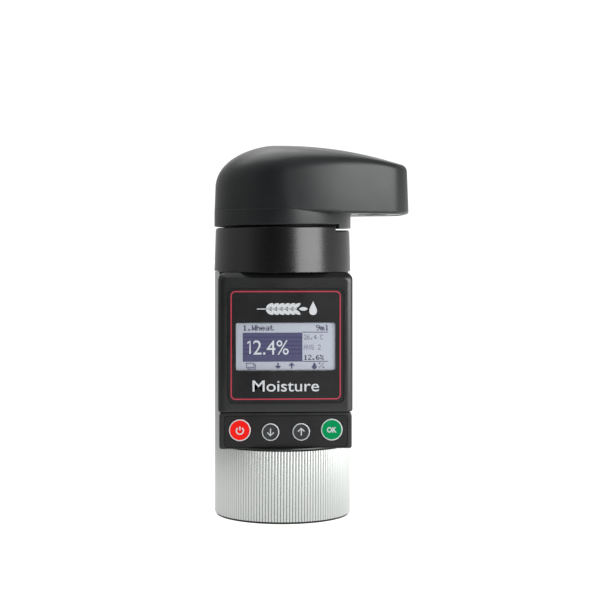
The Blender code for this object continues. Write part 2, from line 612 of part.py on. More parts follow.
def make_burrs():
    burr("lower_burr", 8.1 * MM, CHAMBER_RADIUS - 0.3 * MM, LOWER_CREST, 133.3 * MM)
    upper = burr("upper_burr", 3.0 * MM, CHAMBER_RADIUS - 0.4 * MM, UPPER_CREST, 146.0 * MM)
    for k in range(3):
        x, y = on_circle(BURR_SCREW_CIRCLE, radians(90 + 120 * k))
        drill(upper, f"burr_hole_{k + 1}", x, y, 1.3 * MM, 143.6 * MM, 148 * MM)
        upright_screw(f"burr_screw_{k + 1}", x, y, 2.2 * MM, 1.0 * MM, 151.2 * MM, 149.6 * MM, 144.2 * MM)


# ---------------------------------------------------------------- crusher lid

def lever_outline(side_steps=8, corner_steps=5):
    """The lid's plan: a circle whose sides run on as gentle arcs to rounded corners and a flat end.

    Gives (x, y, outward angle, share of the way along) from the back of the dome to the end of one corner.
    """
    side_centre = SIDE_RADIUS - SKIRT_RADIUS
    side_end = 1.5 * pi + SIDE_ANGLE
    corner_x, corner_y = on_circle(SIDE_RADIUS - CORNER_RADIUS, side_end)
    stretches = (
        (0, 0, SKIRT_RADIUS, pi, 1.5 * pi, DOME_STEPS),
        (0, side_centre, SIDE_RADIUS, 1.5 * pi, side_end, side_steps),
        (corner_x, corner_y + side_centre, CORNER_RADIUS, side_end, 2 * pi, corner_steps),
    )
    points = []
    for centre_x, centre_y, radius, start, end, steps in stretches:
        for k in range(1 if points else 0, steps + 1):
            angle = start + (end - start) * k / steps
            points.append((centre_x + radius * cos(angle), centre_y + radius * sin(angle), angle))
    lengths = [0.0]
    for a, b in zip(points, points[1:]):
        lengths.append(lengths[-1] + hypot(b[0] - a[0], b[1] - a[1]))
    whole = lengths[-1] - points[-1][1]
    return [(*point, length / whole) for point, length in zip(points, lengths)]


def crown(x, y):
    """Height of the lid's top: level along the dome, then falling towards the lever's end and to both sides."""
    along = CROWN_RADIUS - sqrt(CROWN_RADIUS ** 2 - max(x, 0.0) ** 2)
    return LID_CROWN - along - y * y / (2 * CROSS_RADIUS)


def lower_edge(x):
    """The lever hangs a little lower than the parting line above the skirt."""
    share = min(max((x + 2 * MM) / (32 * MM), 0.0), 1.0)
    top = SKIRT_TOP + FIT
    return top + (LEVER_UNDERSIDE - top) * share


def lid_column(x, y, angle, share, wall, steps=5):
    """Points up one line of the lid's skin: lower edge, straight wall, shoulder that runs into the crown."""
    blend = 0.5 + 0.5 * cos(pi * min(share / SHOULDER_END, 1.0))
    reach = LEVER_SHOULDER[0] + (DOME_SHOULDER[0] - LEVER_SHOULDER[0]) * blend
    drop = LEVER_SHOULDER[1] + (DOME_SHOULDER[1] - LEVER_SHOULDER[1]) * blend ** 0.7
    top_x, top_y = x - reach * cos(angle), y - reach * sin(angle)
    slope = max(top_x, 0.0) / CROWN_RADIUS * cos(angle) + top_y / CROSS_RADIUS * sin(angle)
    top = crown(top_x, top_y) - wall
    wall_top = top + wall - drop
    places = [(wall + LID_DRAFT * (lower_edge(x) - LEVER_UNDERSIDE), lower_edge(x))]
    start = wall + LID_DRAFT * (wall_top - LEVER_UNDERSIDE)
    for k in range(steps + 1):
        turn = pi / 2 * k / steps
        inward = 1 - max(cos(turn), 0.0) ** SHOULDER_POWER
        lean = slope * (reach - start) * inward ** 2 * (inward - 1)
        places.append((start + (reach - start) * inward,
                       wall_top + (top - wall_top) * sin(turn) ** SHOULDER_POWER + lean))
    return [(x - inset * cos(angle), y - inset * sin(angle), z) for inset, z in places]


def crown_line(shape, one, two, steps, wall):
    """Vertices from one to another, with new ones between them on the crown."""
    places = [one.co.lerp(two.co, k / steps) for k in range(1, steps)]
    return [one, *(shape.verts.new((x, y, crown(x, y) - wall)) for x, y, _ in places), two]


def fill_crown(shape, tops, half_count, across, wall):
    """Close the skin's top: spokes from the pole over the dome, then rows from front to back."""
    pole = tops[0]
    halves = []
    for side in (1, -1):
        spoke = [tops[side], pole]
        for i in range(2, DOME_STEPS + 1):
            following = crown_line(shape, tops[side * i], pole, across // 2, wall)
            for k in range(across // 2):
                near = spoke[k:k + 2] if len(spoke) > 2 else spoke[:1]
                corners = [following[k + 1], following[k], *near]
                shape.faces.new(corners[1:] if corners[0] is near[-1] else corners)
            spoke = following
        halves.append(spoke)
    rows = [halves[0] + halves[1][-2::-1]]
    rows += [crown_line(shape, tops[i], tops[-i], across, wall) for i in range(DOME_STEPS + 1, half_count - 1)]
    rows.append(tops[half_count - 1:half_count + across])
    for one, two in zip(rows, rows[1:]):
        for k in range(across):
            shape.faces.new((two[k], two[k + 1], one[k + 1], one[k]))


def lid_skin(shape, wall, across=4):
    """Add one skin of the lid to a bmesh and give its lower edge."""
    half = lever_outline()
    end_x, end_y = half[-1][:2]
    ends = [(end_x, end_y * (1 - 2 * k / across), 2 * pi, 1.0) for k in range(1, across)]
    back = [(x, -y, -angle, share) for x, y, angle, share in reversed(half[1:])]
    columns = [[shape.verts.new(place) for place in lid_column(*station, wall)]
               for station in half + ends + back]
    for one, two in zip(columns, columns[1:] + columns[:1]):
        for low in range(len(one) - 1):
            shape.faces.new((one[low], two[low], two[low + 1], one[low + 1]))
    fill_crown(shape, [column[-1] for column in columns], len(half), across, wall)
    return [column[0] for column in columns]


def make_lid_shell():
    shape = bmesh.new()
    outer = lid_skin(shape, 0.0)
    inner = lid_skin(shape, LID_WALL)
    for i in range(len(outer)):
        j = (i + 1) % len(outer)
        shape.faces.new((outer[i], outer[j], inner[j], inner[i]))
    shell = solid("crank_lid_shell", shape, "charcoal_nylon", 40)
    clear = SKIRT_RADIUS + FIT
    skirt_way = [(0, 160 * MM), (clear, 160 * MM), (clear, SKIRT_TOP + 0.25 * MM), (0, SKIRT_TOP + 0.25 * MM)]
    cut(shell, turned("skirt_way", skirt_way, "charcoal_nylon"))
    for k in range(3):
        x, y = on_circle(LID_SCREW_CIRCLE, (k + 1) * pi / 2)
        pillar(shell, f"lid_boss_{k + 1}", x, y, 3.0 * MM, 170.3 * MM, 184 * MM)
        drill(shell, f"lid_boss_hole_{k + 1}", x, y, 1.4 * MM, 169 * MM, 180 * MM)
    for k, (x, y) in enumerate(UNDERPLATE_SCREWS):
        pillar(shell, f"lever_boss_{k + 1}", x, y, 3.0 * MM, 168 * MM, BOSS_TOP)
        drill(shell, f"lever_boss_hole_{k + 1}", x, y, 1.4 * MM, 167 * MM, 182 * MM)


def make_lid_inside():
    """Skirt, neck and slip washer under the shell, with the screws that hold them."""
    skirt = turned("lid_skirt_ring", [(30.1 * MM, 164.9 * MM), (30.1 * MM, SKIRT_TOP), (SKIRT_RADIUS, SKIRT_TOP),
                                      (SKIRT_RADIUS, 155 * MM), (36.05 * MM, 155 * MM),
                                      (36.05 * MM, 164.9 * MM)], "charcoal_nylon")
    cut(skirt, ramp_tool("skirt_ramp", LID_STEP, COLLAR_TOP - LEAD + RIM_GAP, 145 * MM))
    neck = turned("threaded_neck", [(10 * MM, NECK_BOTTOM), (NECK_RADIUS, NECK_BOTTOM),
                                    (NECK_RADIUS, SKIRT_TOP + FIT), (34.9 * MM, SKIRT_TOP + FIT),
                                    (34.9 * MM, 170 * MM), (26.7 * MM, 170 * MM), (26.7 * MM, 149.3 * MM),
                                    (10 * MM, 149.3 * MM)], "charcoal_nylon", 48)
    turned("thrust_washer", [(30.1 * MM, 161.2 * MM), (35.6 * MM, 161.2 * MM), (35.6 * MM, 162.6 * MM),
                             (30.1 * MM, 162.6 * MM)], "acetal", 48)
    for k in range(3):
        x, y = on_circle(LID_SCREW_CIRCLE, (k + 1) * pi / 2)
        drill(skirt, f"web_hole_{k + 1}", x, y, 1.4 * MM, 160 * MM, 168 * MM)
        drill(neck, f"flange_hole_{k + 1}", x, y, 1.4 * MM, 166 * MM, 171 * MM)
        upright_screw(f"lid_screw_{k + 1}", x, y, 2.2 * MM, 1.1 * MM, 163.0 * MM, 164.6 * MM, 178 * MM)
        x, y = on_circle(BURR_SCREW_CIRCLE, radians(90 + 120 * k))
        drill(neck, f"neck_hole_{k + 1}", x, y, 1.3 * MM, 145 * MM, 151 * MM)


def make_underplate():
    """Closes the lever from below, between the skirt and the lever's walls."""
    inset = LID_WALL + FIT + 0.2 * MM
    start_x = 24 * MM
    side = [(x - inset * cos(angle), y - inset * sin(angle)) for x, y, angle, _ in lever_outline()
            if x > start_x]
    ring = SKIRT_RADIUS + 2 * FIT
    start_angle = atan2(-sqrt(ring ** 2 - start_x ** 2), start_x)
    arc = [on_circle(ring, -start_angle * (1 - k / 8)) for k in range(17)]
    outline = side + [(x, -y) for x, y in reversed(side)] + arc
    plate = loft("lever_underplate", [[(x, y, z) for x, y in outline] for z in (165.3 * MM, 167.7 * MM)],
                 "charcoal_nylon")
    for k, (x, y) in enumerate(UNDERPLATE_SCREWS):
        drill(plate, f"plate_hole_{k + 1}", x, y, 1.4 * MM, 164 * MM, 169 * MM)
        drill(plate, f"plate_sink_{k + 1}", x, y, 2.6 * MM, 164 * MM, 166.8 * MM)
        upright_screw(f"underplate_screw_{k + 1}", x, y, 2.2 * MM, 1.1 * MM, 165.5 * MM, 166.5 * MM, 180 * MM)


def gather_lid():
    """An empty on the lid's axis carries the pieces that turn with it."""
    axis = bpy.data.objects.new("lid_axis", None)
    axis.location = (0, 0, LID_AXIS_Z)
    bpy.context.scene.collection.objects.link(axis)
    for made in bpy.data.objects:
        if made.name.startswith(LID_PIECES) and not made.hide_render:
            made.parent = axis
            made.matrix_parent_inverse = Matrix.Translation((0, 0, -LID_AXIS_Z))


LID_PIECES = ("crank_lid_shell", "lid_skirt_ring", "threaded_neck", "upper_burr", "burr_screw", "lid_screw",
              "lever_underplate", "underplate_screw")


def main():
    clear_scene()
    make_body_tube()
    make_base()
    make_hatch()
    make_battery()
    make_display()
    make_main_board()
    make_keypad()
    make_keys()
    make_collar()
    make_cup()
    make_burrs()
    make_lid_shell()
    make_lid_inside()
    make_underplate()
    gather_lid()


main()
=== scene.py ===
"""Looks of a hand-held grain moisture meter, laid out as a Blender add-on and run as a script."""

from math import atan2, cos, hypot, pi, radians, sin, sqrt

import bmesh
import bpy
from bpy.props import FloatProperty, FloatVectorProperty, IntProperty, PointerProperty, StringProperty
from mathutils import Matrix, Vector


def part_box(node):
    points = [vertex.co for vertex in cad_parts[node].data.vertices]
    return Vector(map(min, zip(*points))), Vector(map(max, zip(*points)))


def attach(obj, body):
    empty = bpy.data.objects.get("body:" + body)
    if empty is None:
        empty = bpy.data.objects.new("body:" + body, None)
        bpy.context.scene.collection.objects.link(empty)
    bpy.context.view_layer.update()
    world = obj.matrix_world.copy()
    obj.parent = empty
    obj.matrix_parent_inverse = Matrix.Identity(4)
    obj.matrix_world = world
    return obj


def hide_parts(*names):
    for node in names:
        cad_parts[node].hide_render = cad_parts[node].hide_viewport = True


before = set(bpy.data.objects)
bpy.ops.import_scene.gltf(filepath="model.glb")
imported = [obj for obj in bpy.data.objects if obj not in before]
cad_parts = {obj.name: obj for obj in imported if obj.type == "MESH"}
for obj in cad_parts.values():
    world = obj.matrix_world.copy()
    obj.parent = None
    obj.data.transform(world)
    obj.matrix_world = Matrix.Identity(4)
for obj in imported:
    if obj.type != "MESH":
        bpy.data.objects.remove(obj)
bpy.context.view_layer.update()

bl_info = {
    "name": "Grain Moisture Meter",
    "version": (1, 0, 0),
    "blender": (4, 5, 0),
    "location": "3D View > Sidebar > Moisture Meter",
    "description": "Builds the visible pieces of a grain moisture meter around its mechanical frame",
    "category": "Object",
}

MM = 0.001
TUBE_LOW, TUBE_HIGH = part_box("body_tube")
DISPLAY_LOW, DISPLAY_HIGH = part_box("display_housing")
KEYPAD_LOW, KEYPAD_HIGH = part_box("keypad_housing")
OVERLAY_LOW, OVERLAY_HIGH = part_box("display_overlay")
FILM_LOW, FILM_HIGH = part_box("keypad_film")
WINDOW_LOW, WINDOW_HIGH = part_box("display_window")
SCREEN_LOW, SCREEN_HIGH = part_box("lcd_screen")
COLLAR_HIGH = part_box("collar")[1]
SKIRT_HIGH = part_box("lid_skirt_ring")[1]
NECK_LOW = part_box("threaded_neck")[0]
LID_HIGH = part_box("crank_lid_shell")[1]
CAP_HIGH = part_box("base_cap")[1]
HATCH_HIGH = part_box("battery_hatch")[1]


# ---------------------------------------------------------------- settings

class TubeSettings(bpy.types.PropertyGroup):
    ribs: IntProperty(name="Ribs", description="Ridges around the extruded tube", default=144, min=24)
    rib_depth: FloatProperty(name="Rib depth", description="Depth of the grooves between the ridges",
                             default=0.4 * MM, unit='LENGTH', precision=5)
    ledge: FloatProperty(name="Ledge height", description="Height at which the front is cut away",
                         default=38.5 * MM, unit='LENGTH', precision=5)
    metal: FloatVectorProperty(name="Metal", description="Colour of the anodised aluminium",
                               default=(0.81, 0.825, 0.81), subtype='COLOR_GAMMA')


class PanelSettings(bpy.types.PropertyGroup):
    roll: FloatProperty(name="Side roll", description="Width of the rolled side edges of the display housing",
                        default=3.5 * MM, unit='LENGTH', precision=5)
    bevel: FloatProperty(name="Top bevel", description="Height of the bevel along the display housing's top",
                         default=2.9 * MM, unit='LENGTH', precision=5)
    line_width: FloatProperty(name="Line width", description="Width of the printed border line",
                              default=0.65 * MM, unit='LENGTH', precision=5)
    word: StringProperty(name="Word", description="Generic word printed under the screen", default="Moisture")
    plastic: FloatVectorProperty(name="Plastic", description="Colour of the moulded ABS",
                                 default=(0.075, 0.078, 0.08), subtype='COLOR_GAMMA')
    line: FloatVectorProperty(name="Line", description="Colour of the printed border line",
                              default=(0.62, 0.13, 0.21), subtype='COLOR_GAMMA')


class ScreenSettings(bpy.types.PropertyGroup):
    dot: FloatProperty(name="Dot pitch", description="Distance between the dots of the small characters",
                       default=0.4 * MM, unit='LENGTH', precision=5)
    reading: StringProperty(name="Reading", description="Large moisture reading after its leading one",
                            default="2.4%")
    glass: FloatVectorProperty(name="Glass", description="Colour of the bright screen",
                               default=(0.655, 0.68, 0.72), subtype='COLOR_GAMMA')
    ink: FloatVectorProperty(name="Ink", description="Colour of the dark dots",
                             default=(0.26, 0.255, 0.39), subtype='COLOR_GAMMA')


class KeySettings(bpy.types.PropertyGroup):
    ring: FloatProperty(name="Ring width", description="Width of the white ring around each key",
                        default=0.6 * MM, unit='LENGTH', precision=5)
    power: FloatVectorProperty(name="Power", description="Colour of the power key",
                               default=(0.82, 0.10, 0.08), subtype='COLOR_GAMMA')
    confirm: FloatVectorProperty(name="Confirm", description="Colour of the OK key",
                                 default=(0.0, 0.47, 0.27), subtype='COLOR_GAMMA')


class CollarSettings(bpy.types.PropertyGroup):
    lead: FloatProperty(name="Lead", description="Rise of the lid in one turn, and of the helical rim",
                        default=2.2 * MM, unit='LENGTH', precision=5)
    gap: FloatProperty(name="Rim gap", description="Gap between the collar's rim and the lid's skirt",
                       default=1.0 * MM, unit='LENGTH', precision=5)
    thread_depth: FloatProperty(name="Thread depth", description="Depth of the lid's thread",
                                default=0.5 * MM, unit='LENGTH', precision=5)


class LidSettings(bpy.types.PropertyGroup):
    side_radius: FloatProperty(name="Side radius", description="Radius of the lever's long sides in plan",
                               default=142 * MM, unit='LENGTH', precision=4)
    corner_radius: FloatProperty(name="Corner radius", description="Radius of the lever's end corners",
                                 default=16.8 * MM, unit='LENGTH', precision=5)
    crown_radius: FloatProperty(name="Crown radius", description="Radius of the lever's top along its length",
                                default=212 * MM, unit='LENGTH', precision=4)
    cross_radius: FloatProperty(name="Cross radius", description="Radius of the lid's top from side to side",
                                default=110 * MM, unit='LENGTH', precision=4)
    edge: FloatProperty(name="Lower edge", description="Rounding of the lever's lower edge",
                        default=1.6 * MM, unit='LENGTH', precision=5)
    nylon: FloatVectorProperty(name="Nylon", description="Colour of the moulded lid",
                               default=(0.085, 0.095, 0.098), subtype='COLOR_GAMMA')


class StageSettings(bpy.types.PropertyGroup):
    camera_distance: FloatProperty(name="Camera distance", description="From the tube's axis to the camera",
                                   default=0.8, unit='LENGTH')
    camera_height: FloatProperty(name="Camera height", description="Height of its level line of sight",
                                 default=0.1428, unit='LENGTH', precision=4)
    camera_turn: FloatProperty(name="Camera turn", description="How far round to the left the camera stands",
                               default=radians(3.3), subtype='ANGLE')


SETTINGS = {"meter_tube": TubeSettings, "meter_panel": PanelSettings, "meter_screen": ScreenSettings,
            "meter_keys": KeySettings, "meter_collar": CollarSettings, "meter_lid": LidSettings,
            "meter_stage": StageSettings}


# ---------------------------------------------------------------- shapes

def on_circle(radius, angle):
    """The point (x, y) at an angle on a circle about the origin."""
    return radius * cos(angle), radius * sin(angle)


def smoothstep(value):
    """0 below 0, 1 above 1, and an even S between them."""
    share = min(max(value, 0.0), 1.0)
    return share * share * (3 - 2 * share)


def arc(centre_a, centre_b, radius, start, end, steps):
    """Points of an arc in any plane, with its angles in degrees."""
    return [(centre_a + radius * cos(a), centre_b + radius * sin(a))
            for a in (radians(start + (end - start) * k / steps) for k in range(steps + 1))]


def bridge(shape, rings, closed=True, joined=False):
    """Faces between rings of vertices; closed joins each ring's ends, joined the last ring to the first."""
    pairs = list(zip(rings, rings[1:]))
    if joined:
        pairs.append((rings[-1], rings[0]))
    count = len(rings[0])
    for one, two in pairs:
        for i in range(count if closed else count - 1):
            j = (i + 1) % count
            corners = []
            for corner in (one[i], one[j], two[j], two[i]):
                if corner not in corners:
                    corners.append(corner)
            if len(corners) > 2:
                shape.faces.new(corners)


def rings_to_mesh(name, rings, joined=False):
    """A closed mesh through rings of points, capped at both ends or joined end to end."""
    shape = bmesh.new()
    loops = [[shape.verts.new(point) for point in ring] for ring in rings]
    bridge(shape, loops, joined=joined)
    if not joined:
        shape.faces.new(loops[0])
        shape.faces.new(loops[-1])
    return closed_mesh(name, shape)


def closed_mesh(name, shape):
    bmesh.ops.recalc_face_normals(shape, faces=shape.faces)
    mesh = bpy.data.meshes.new(name)
    shape.to_mesh(mesh)
    shape.free()
    return mesh


def turned_mesh(name, profile, steps=128, centre=(0.0, 0.0)):
    """Turn a closed profile of (radius, z) about a vertical axis; radius 0 is a point on the axis."""
    shape = bmesh.new()
    rings = []
    for radius, z in profile:
        if radius == 0:
            rings.append([shape.verts.new((*centre, z))] * steps)
            continue
        places = (on_circle(radius, 2 * pi * k / steps) for k in range(steps))
        rings.append([shape.verts.new((centre[0] + x, centre[1] + y, z)) for x, y in places])
    bridge(shape, rings, joined=True)
    return closed_mesh(name, shape)


def rounded_rectangle(low_x, high_x, low_z, high_z, radius, steps=8, top_radius=None):
    """Points (x, z) of a rounded rectangle, anticlockwise as seen from the front."""
    centres = ((high_x, high_z, -1, -1), (low_x, high_z, 1, -1), (low_x, low_z, 1, 1), (high_x, low_z, -1, 1))
    points = []
    for quarter, (x, z, side_x, side_z) in enumerate(centres):
        bend = top_radius if top_radius and quarter < 2 else radius
        points += arc(x + side_x * bend, z + side_z * bend, bend, 90 * quarter, 90 * quarter + 90, steps)
    return points


def frame_ring(low, high, inset, radius, y, steps=8):
    """A rounded rectangle at y, inset from the box between two corners."""
    outline = rounded_rectangle(low[0] + inset, high[0] - inset, low[2] + inset, high[2] - inset, radius,
                                steps)
    return [(x, y, z) for x, z in outline]


def to_panel(mesh, x, y, z):
    """Stand a mesh made in the XY plane upright, facing the front, at a place on the panel."""
    mesh.transform(Matrix.Translation((x, y, z)) @ Matrix.Rotation(pi / 2, 4, 'X'))
    return mesh


def baked_mesh(name, source):
    """The evaluated mesh of an object, which is then removed."""
    graph = bpy.context.evaluated_depsgraph_get()
    graph.update()
    mesh = bpy.data.meshes.new_from_object(source.evaluated_get(graph))
    mesh.name = name
    bpy.data.objects.remove(source, do_unlink=True)
    return mesh


def scratch_object(data):
    made = bpy.data.objects.new("scratch", data)
    bpy.context.scene.collection.objects.link(made)
    return made


def combined_mesh(name, operation, mesh, tools):
    """A closed mesh after one boolean with each of the closed meshes in tools."""
    target = scratch_object(mesh)
    helpers = [scratch_object(tool) for tool in tools]
    for helper in helpers:
        step = target.modifiers.new(operation.lower(), 'BOOLEAN')
        step.operation = operation
        step.solver = 'EXACT'
        step.object = helper
    result = baked_mesh(name, target)
    for helper in helpers:
        bpy.data.objects.remove(helper, do_unlink=True)
    return result


def cut_mesh(mesh, *tools):
    """Subtract closed meshes from a closed mesh."""
    return combined_mesh(mesh.name, 'DIFFERENCE', mesh, tools)


def bevelled(mesh, width, segments=2, angle=40):
    """Round the sharp edges of a mesh."""
    target = scratch_object(mesh)
    step = target.modifiers.new("round", 'BEVEL')
    step.width = width
    step.segments = segments
    step.limit_method = 'ANGLE'
    step.angle_limit = radians(angle)
    step.harden_normals = False
    return baked_mesh(mesh.name, target)


TEXT_HALF_DEPTH = 0.01


def text_mesh(name, body, height, width, thickness, weight=0.0):
    """Lettering as a thin closed mesh in the XY plane, fitted to a cap height and a width, centred on x."""
    font = bpy.data.curves.new(name, 'FONT')
    font.body = body
    font.size = 1.0
    font.offset = weight
    font.extrude = TEXT_HALF_DEPTH
    font.resolution_u = 6
    mesh = baked_mesh(name, scratch_object(font))
    xs = [v.co.x for v in mesh.vertices]
    ys = [v.co.y for v in mesh.vertices]
    cap = max(ys) - max(min(ys), 0.0)
    mesh.transform(Matrix.Translation((-(min(xs) + max(xs)) / 2, 0, 0)))
    mesh.transform(Matrix.Diagonal((width / (max(xs) - min(xs)), height / cap,
                                     thickness / (2 * TEXT_HALF_DEPTH), 1)))
    return mesh


def stroke_mesh(name, lines, width, thickness):
    """Round-ended strokes in the XY plane, from lists of points."""
    curve = bpy.data.curves.new(name, 'CURVE')
    curve.dimensions = '3D'
    curve.bevel_depth = width / 2
    curve.bevel_resolution = 4
    curve.use_fill_caps = True
    for points in lines:
        spline = curve.splines.new('POLY')
        spline.points.add(len(points) - 1)
        for point, (x, y) in zip(spline.points, points):
            point.co = (x, y, 0, 1)
    mesh = baked_mesh(name, scratch_object(curve))
    mesh.transform(Matrix.Diagonal((1, 1, thickness / width, 1)))
    return mesh


def plate_mesh(name, outline, thickness):
    """A thin plate in the XY plane from an outline of (x, y)."""
    return rings_to_mesh(name, [[(x, y, z) for x, y in outline] for z in (-thickness / 2, thickness / 2)])


def sleeve_mesh(name, bore, radius, low, high, steps, centre=(0.0, 0.0)):
    """A plain upright sleeve, or a rod where its bore is 0."""
    return turned_mesh(name, [(bore, low), (radius, low), (radius, high), (bore, high)], steps, centre)


def retitled(mesh, name):
    mesh.name = name
    return mesh


def joined_mesh(name, meshes):
    """Several meshes as one."""
    shape = bmesh.new()
    for mesh in meshes:
        shape.from_mesh(mesh)
        bpy.data.meshes.remove(mesh)
    whole = bpy.data.meshes.new(name)
    shape.to_mesh(whole)
    shape.free()
    return whole


def add_piece(mesh, body, material, replaced=(), sharp=35):
    """Put a finished mesh into the scene, riding on a body of the frame."""
    mesh.shade_smooth()
    mesh.set_sharp_from_angle(angle=radians(sharp))
    mesh.materials.clear()
    mesh.materials.append(material)
    piece = bpy.data.objects.new(mesh.name, mesh)
    bpy.context.scene.collection.objects.link(piece)
    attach(piece, body)
    if replaced:
        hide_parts(*replaced)
    return piece


# ---------------------------------------------------------------- geometry nodes

class Tree:
    """A Geometry Nodes tree under construction, with named inputs."""

    def __init__(self, name, inputs):
        self.tree = bpy.data.node_groups.new(name, 'GeometryNodeTree')
        self.tree.interface.new_socket("Geometry", in_out='INPUT', socket_type='NodeSocketGeometry')
        for label, kind in inputs:
            self.tree.interface.new_socket(label, in_out='INPUT', socket_type=kind)
        self.tree.interface.new_socket("Geometry", in_out='OUTPUT', socket_type='NodeSocketGeometry')
        self.inputs = self.tree.nodes.new("NodeGroupInput").outputs
        self.output = self.tree.nodes.new("NodeGroupOutput").inputs[0]

    def add(self, kind, *links, **settings):
        """Add a node: links are values or sockets for its inputs in order, None to leave one alone."""
        return add_node(self.tree, kind, *links, **settings)

    def finish(self, geometry):
        """End in Realize Instances and Set Material."""
        real = self.add("GeometryNodeRealizeInstances", geometry)
        painted = self.add("GeometryNodeSetMaterial", real.outputs[0], None, self.inputs["Material"])
        self.tree.links.new(painted.outputs[0], self.output)


def add_node(tree, kind, *links, **settings):
    """Add a node with its settings, and set or link its inputs in order."""
    node = tree.nodes.new(kind)
    for name, value in settings.items():
        setattr(node, name, value)
    for socket, link in zip(node.inputs, links):
        if link is None:
            continue
        if isinstance(link, bpy.types.NodeSocket):
            tree.links.new(link, socket)
        else:
            socket.default_value = link
    return node


def grown_mesh(name, source, maker, values, material):
    """Run a tree on a mesh and give the plain mesh that results."""
    made = scratch_object(source)
    step = made.modifiers.new(maker.tree.name, 'NODES')
    step.node_group = maker.tree
    sockets = {item.name: item.identifier for item in maker.tree.interface.items_tree
               if item.in_out == 'INPUT'}
    for label, value in {**values, "Material": material}.items():
        step[sockets[label]] = value
    mesh = baked_mesh(name, made)
    if not maker.tree.users:
        bpy.data.node_groups.remove(maker.tree)
    return mesh


def points_mesh(places):
    mesh = bpy.data.meshes.new("points")
    mesh.from_pydata([tuple(place) for place in places], [], [])
    return mesh


POINTS_PER_RIB = 10
GROOVE_POWER = 0.75             # 1 makes the grooves as round as the ribs, less makes them narrower
FOOT_CHAMFER = 0.35 * MM
SEAM = 0.001 * MM


def ribbed_skin():
    """The tube's outer skin: a grid rolled into a ribbed cylinder, with its front cut away.

    Its four rows are the foot, the top of the foot's chamfer, the ledge and the top.
    """
    maker = Tree("Ribbed tube", [("Material", 'NodeSocketMaterial'), ("Ribs", 'NodeSocketInt'),
                                 ("Radius", 'NodeSocketFloat'), ("Depth", 'NodeSocketFloat'),
                                 ("Bottom", 'NodeSocketFloat'), ("Ledge", 'NodeSocketFloat'),
                                 ("Top", 'NodeSocketFloat'), ("Cut", 'NodeSocketFloat')])
    place = maker.add("ShaderNodeSeparateXYZ", maker.add("GeometryNodeInputPosition").outputs[0])
    found = dict(maker.inputs.items())
    found.update(x=place.outputs[0], y=place.outputs[1], z=place.outputs[2])
    sums = (
        # columns of points round the tube, and where each stands
        ("points", 'MULTIPLY', "Ribs", POINTS_PER_RIB), ("columns", 'ADD', "points", 1.0),
        ("along", 'ADD', "x", 0.5), ("turn", 'MULTIPLY', "along", 2 * pi),
        ("angle", 'SUBTRACT', "turn", pi / 2), ("cosine", 'COSINE', "angle"), ("sine", 'SINE', "angle"),
        # depth of the groove there
        ("rib", 'MULTIPLY', "along", "Ribs"), ("phase", 'MULTIPLY', "rib", pi), ("swing", 'SINE', "phase"),
        ("wave", 'ABSOLUTE', "swing"), ("crest", 'POWER', "wave", GROOVE_POWER),
        ("groove", 'SUBTRACT', 1.0, "crest"), ("depth", 'MULTIPLY', "groove", "Depth"),
        # which row it is
        ("up", 'ADD', "y", 0.5), ("rows up", 'MULTIPLY', "up", 3.0), ("row", 'ROUND', "rows up"),
        ("is foot", 'LESS_THAN', "row", 0.5), ("past foot", 'GREATER_THAN', "row", 0.5),
        ("past edge", 'GREATER_THAN', "row", 1.5), ("past ledge", 'GREATER_THAN', "row", 2.5),
        # its radius and height
        ("chamfer", 'MULTIPLY', "is foot", FOOT_CHAMFER), ("grooved", 'SUBTRACT', "Radius", "depth"),
        ("radius", 'SUBTRACT', "grooved", "chamfer"), ("across", 'MULTIPLY', "radius", "cosine"),
        ("deep", 'MULTIPLY', "radius", "sine"), ("edge", 'MULTIPLY', "past foot", FOOT_CHAMFER),
        ("skirt", 'SUBTRACT', "Ledge", "Bottom"), ("wall", 'SUBTRACT', "skirt", FOOT_CHAMFER),
        ("lower", 'MULTIPLY', "past edge", "wall"), ("open wall", 'SUBTRACT', "Top", "Ledge"),
        ("upper", 'MULTIPLY', "past ledge", "open wall"), ("foot", 'ADD', "Bottom", "edge"),
        ("rest", 'ADD', "lower", "upper"), ("height", 'ADD', "foot", "rest"),
        # the front, cut away above the ledge
        ("above", 'GREATER_THAN', "z", "Ledge"), ("front", 'LESS_THAN', "y", "Cut"),
        ("removed", 'MULTIPLY', "above", "front"),
    )
    for result, operation, *terms in sums:
        links = [found.get(term, term) for term in terms]
        found[result] = maker.add("ShaderNodeMath", *links, operation=operation).outputs[0]
    grid = maker.add("GeometryNodeMeshGrid", 1.0, 1.0, found["columns"], 4)
    rolled = maker.add("ShaderNodeCombineXYZ", found["across"], found["deep"], found["height"])
    moved = maker.add("GeometryNodeSetPosition", grid.outputs[0], None, rolled.outputs[0])
    open_front = maker.add("GeometryNodeDeleteGeometry", moved.outputs[0], found["removed"], domain='FACE')
    sewn = maker.add("GeometryNodeMergeByDistance", open_front.outputs[0])
    sewn.inputs["Distance"].default_value = SEAM
    maker.finish(sewn.outputs[0])
    return maker


def scattered(name):
    """Copies of one object at every point, each turned by a seeded angle about Z."""
    maker = Tree(name, [("Material", 'NodeSocketMaterial'), ("Copy", 'NodeSocketObject'),
                        ("Turn", 'NodeSocketFloat'), ("Seed", 'NodeSocketInt')])
    given = maker.inputs
    source = maker.add("GeometryNodeObjectInfo", given["Copy"])
    turn = maker.add("FunctionNodeRandomValue", data_type='FLOAT')
    maker.tree.links.new(given["Turn"], turn.inputs[3])
    maker.tree.links.new(given["Seed"], turn.inputs["Seed"])
    spin = maker.add("ShaderNodeCombineXYZ", None, None, turn.outputs[1])
    copies = maker.add("GeometryNodeInstanceOnPoints", given["Geometry"])
    maker.tree.links.new(source.outputs["Geometry"], copies.inputs["Instance"])
    maker.tree.links.new(spin.outputs[0], copies.inputs["Rotation"])
    maker.finish(copies.outputs[0])
    return maker


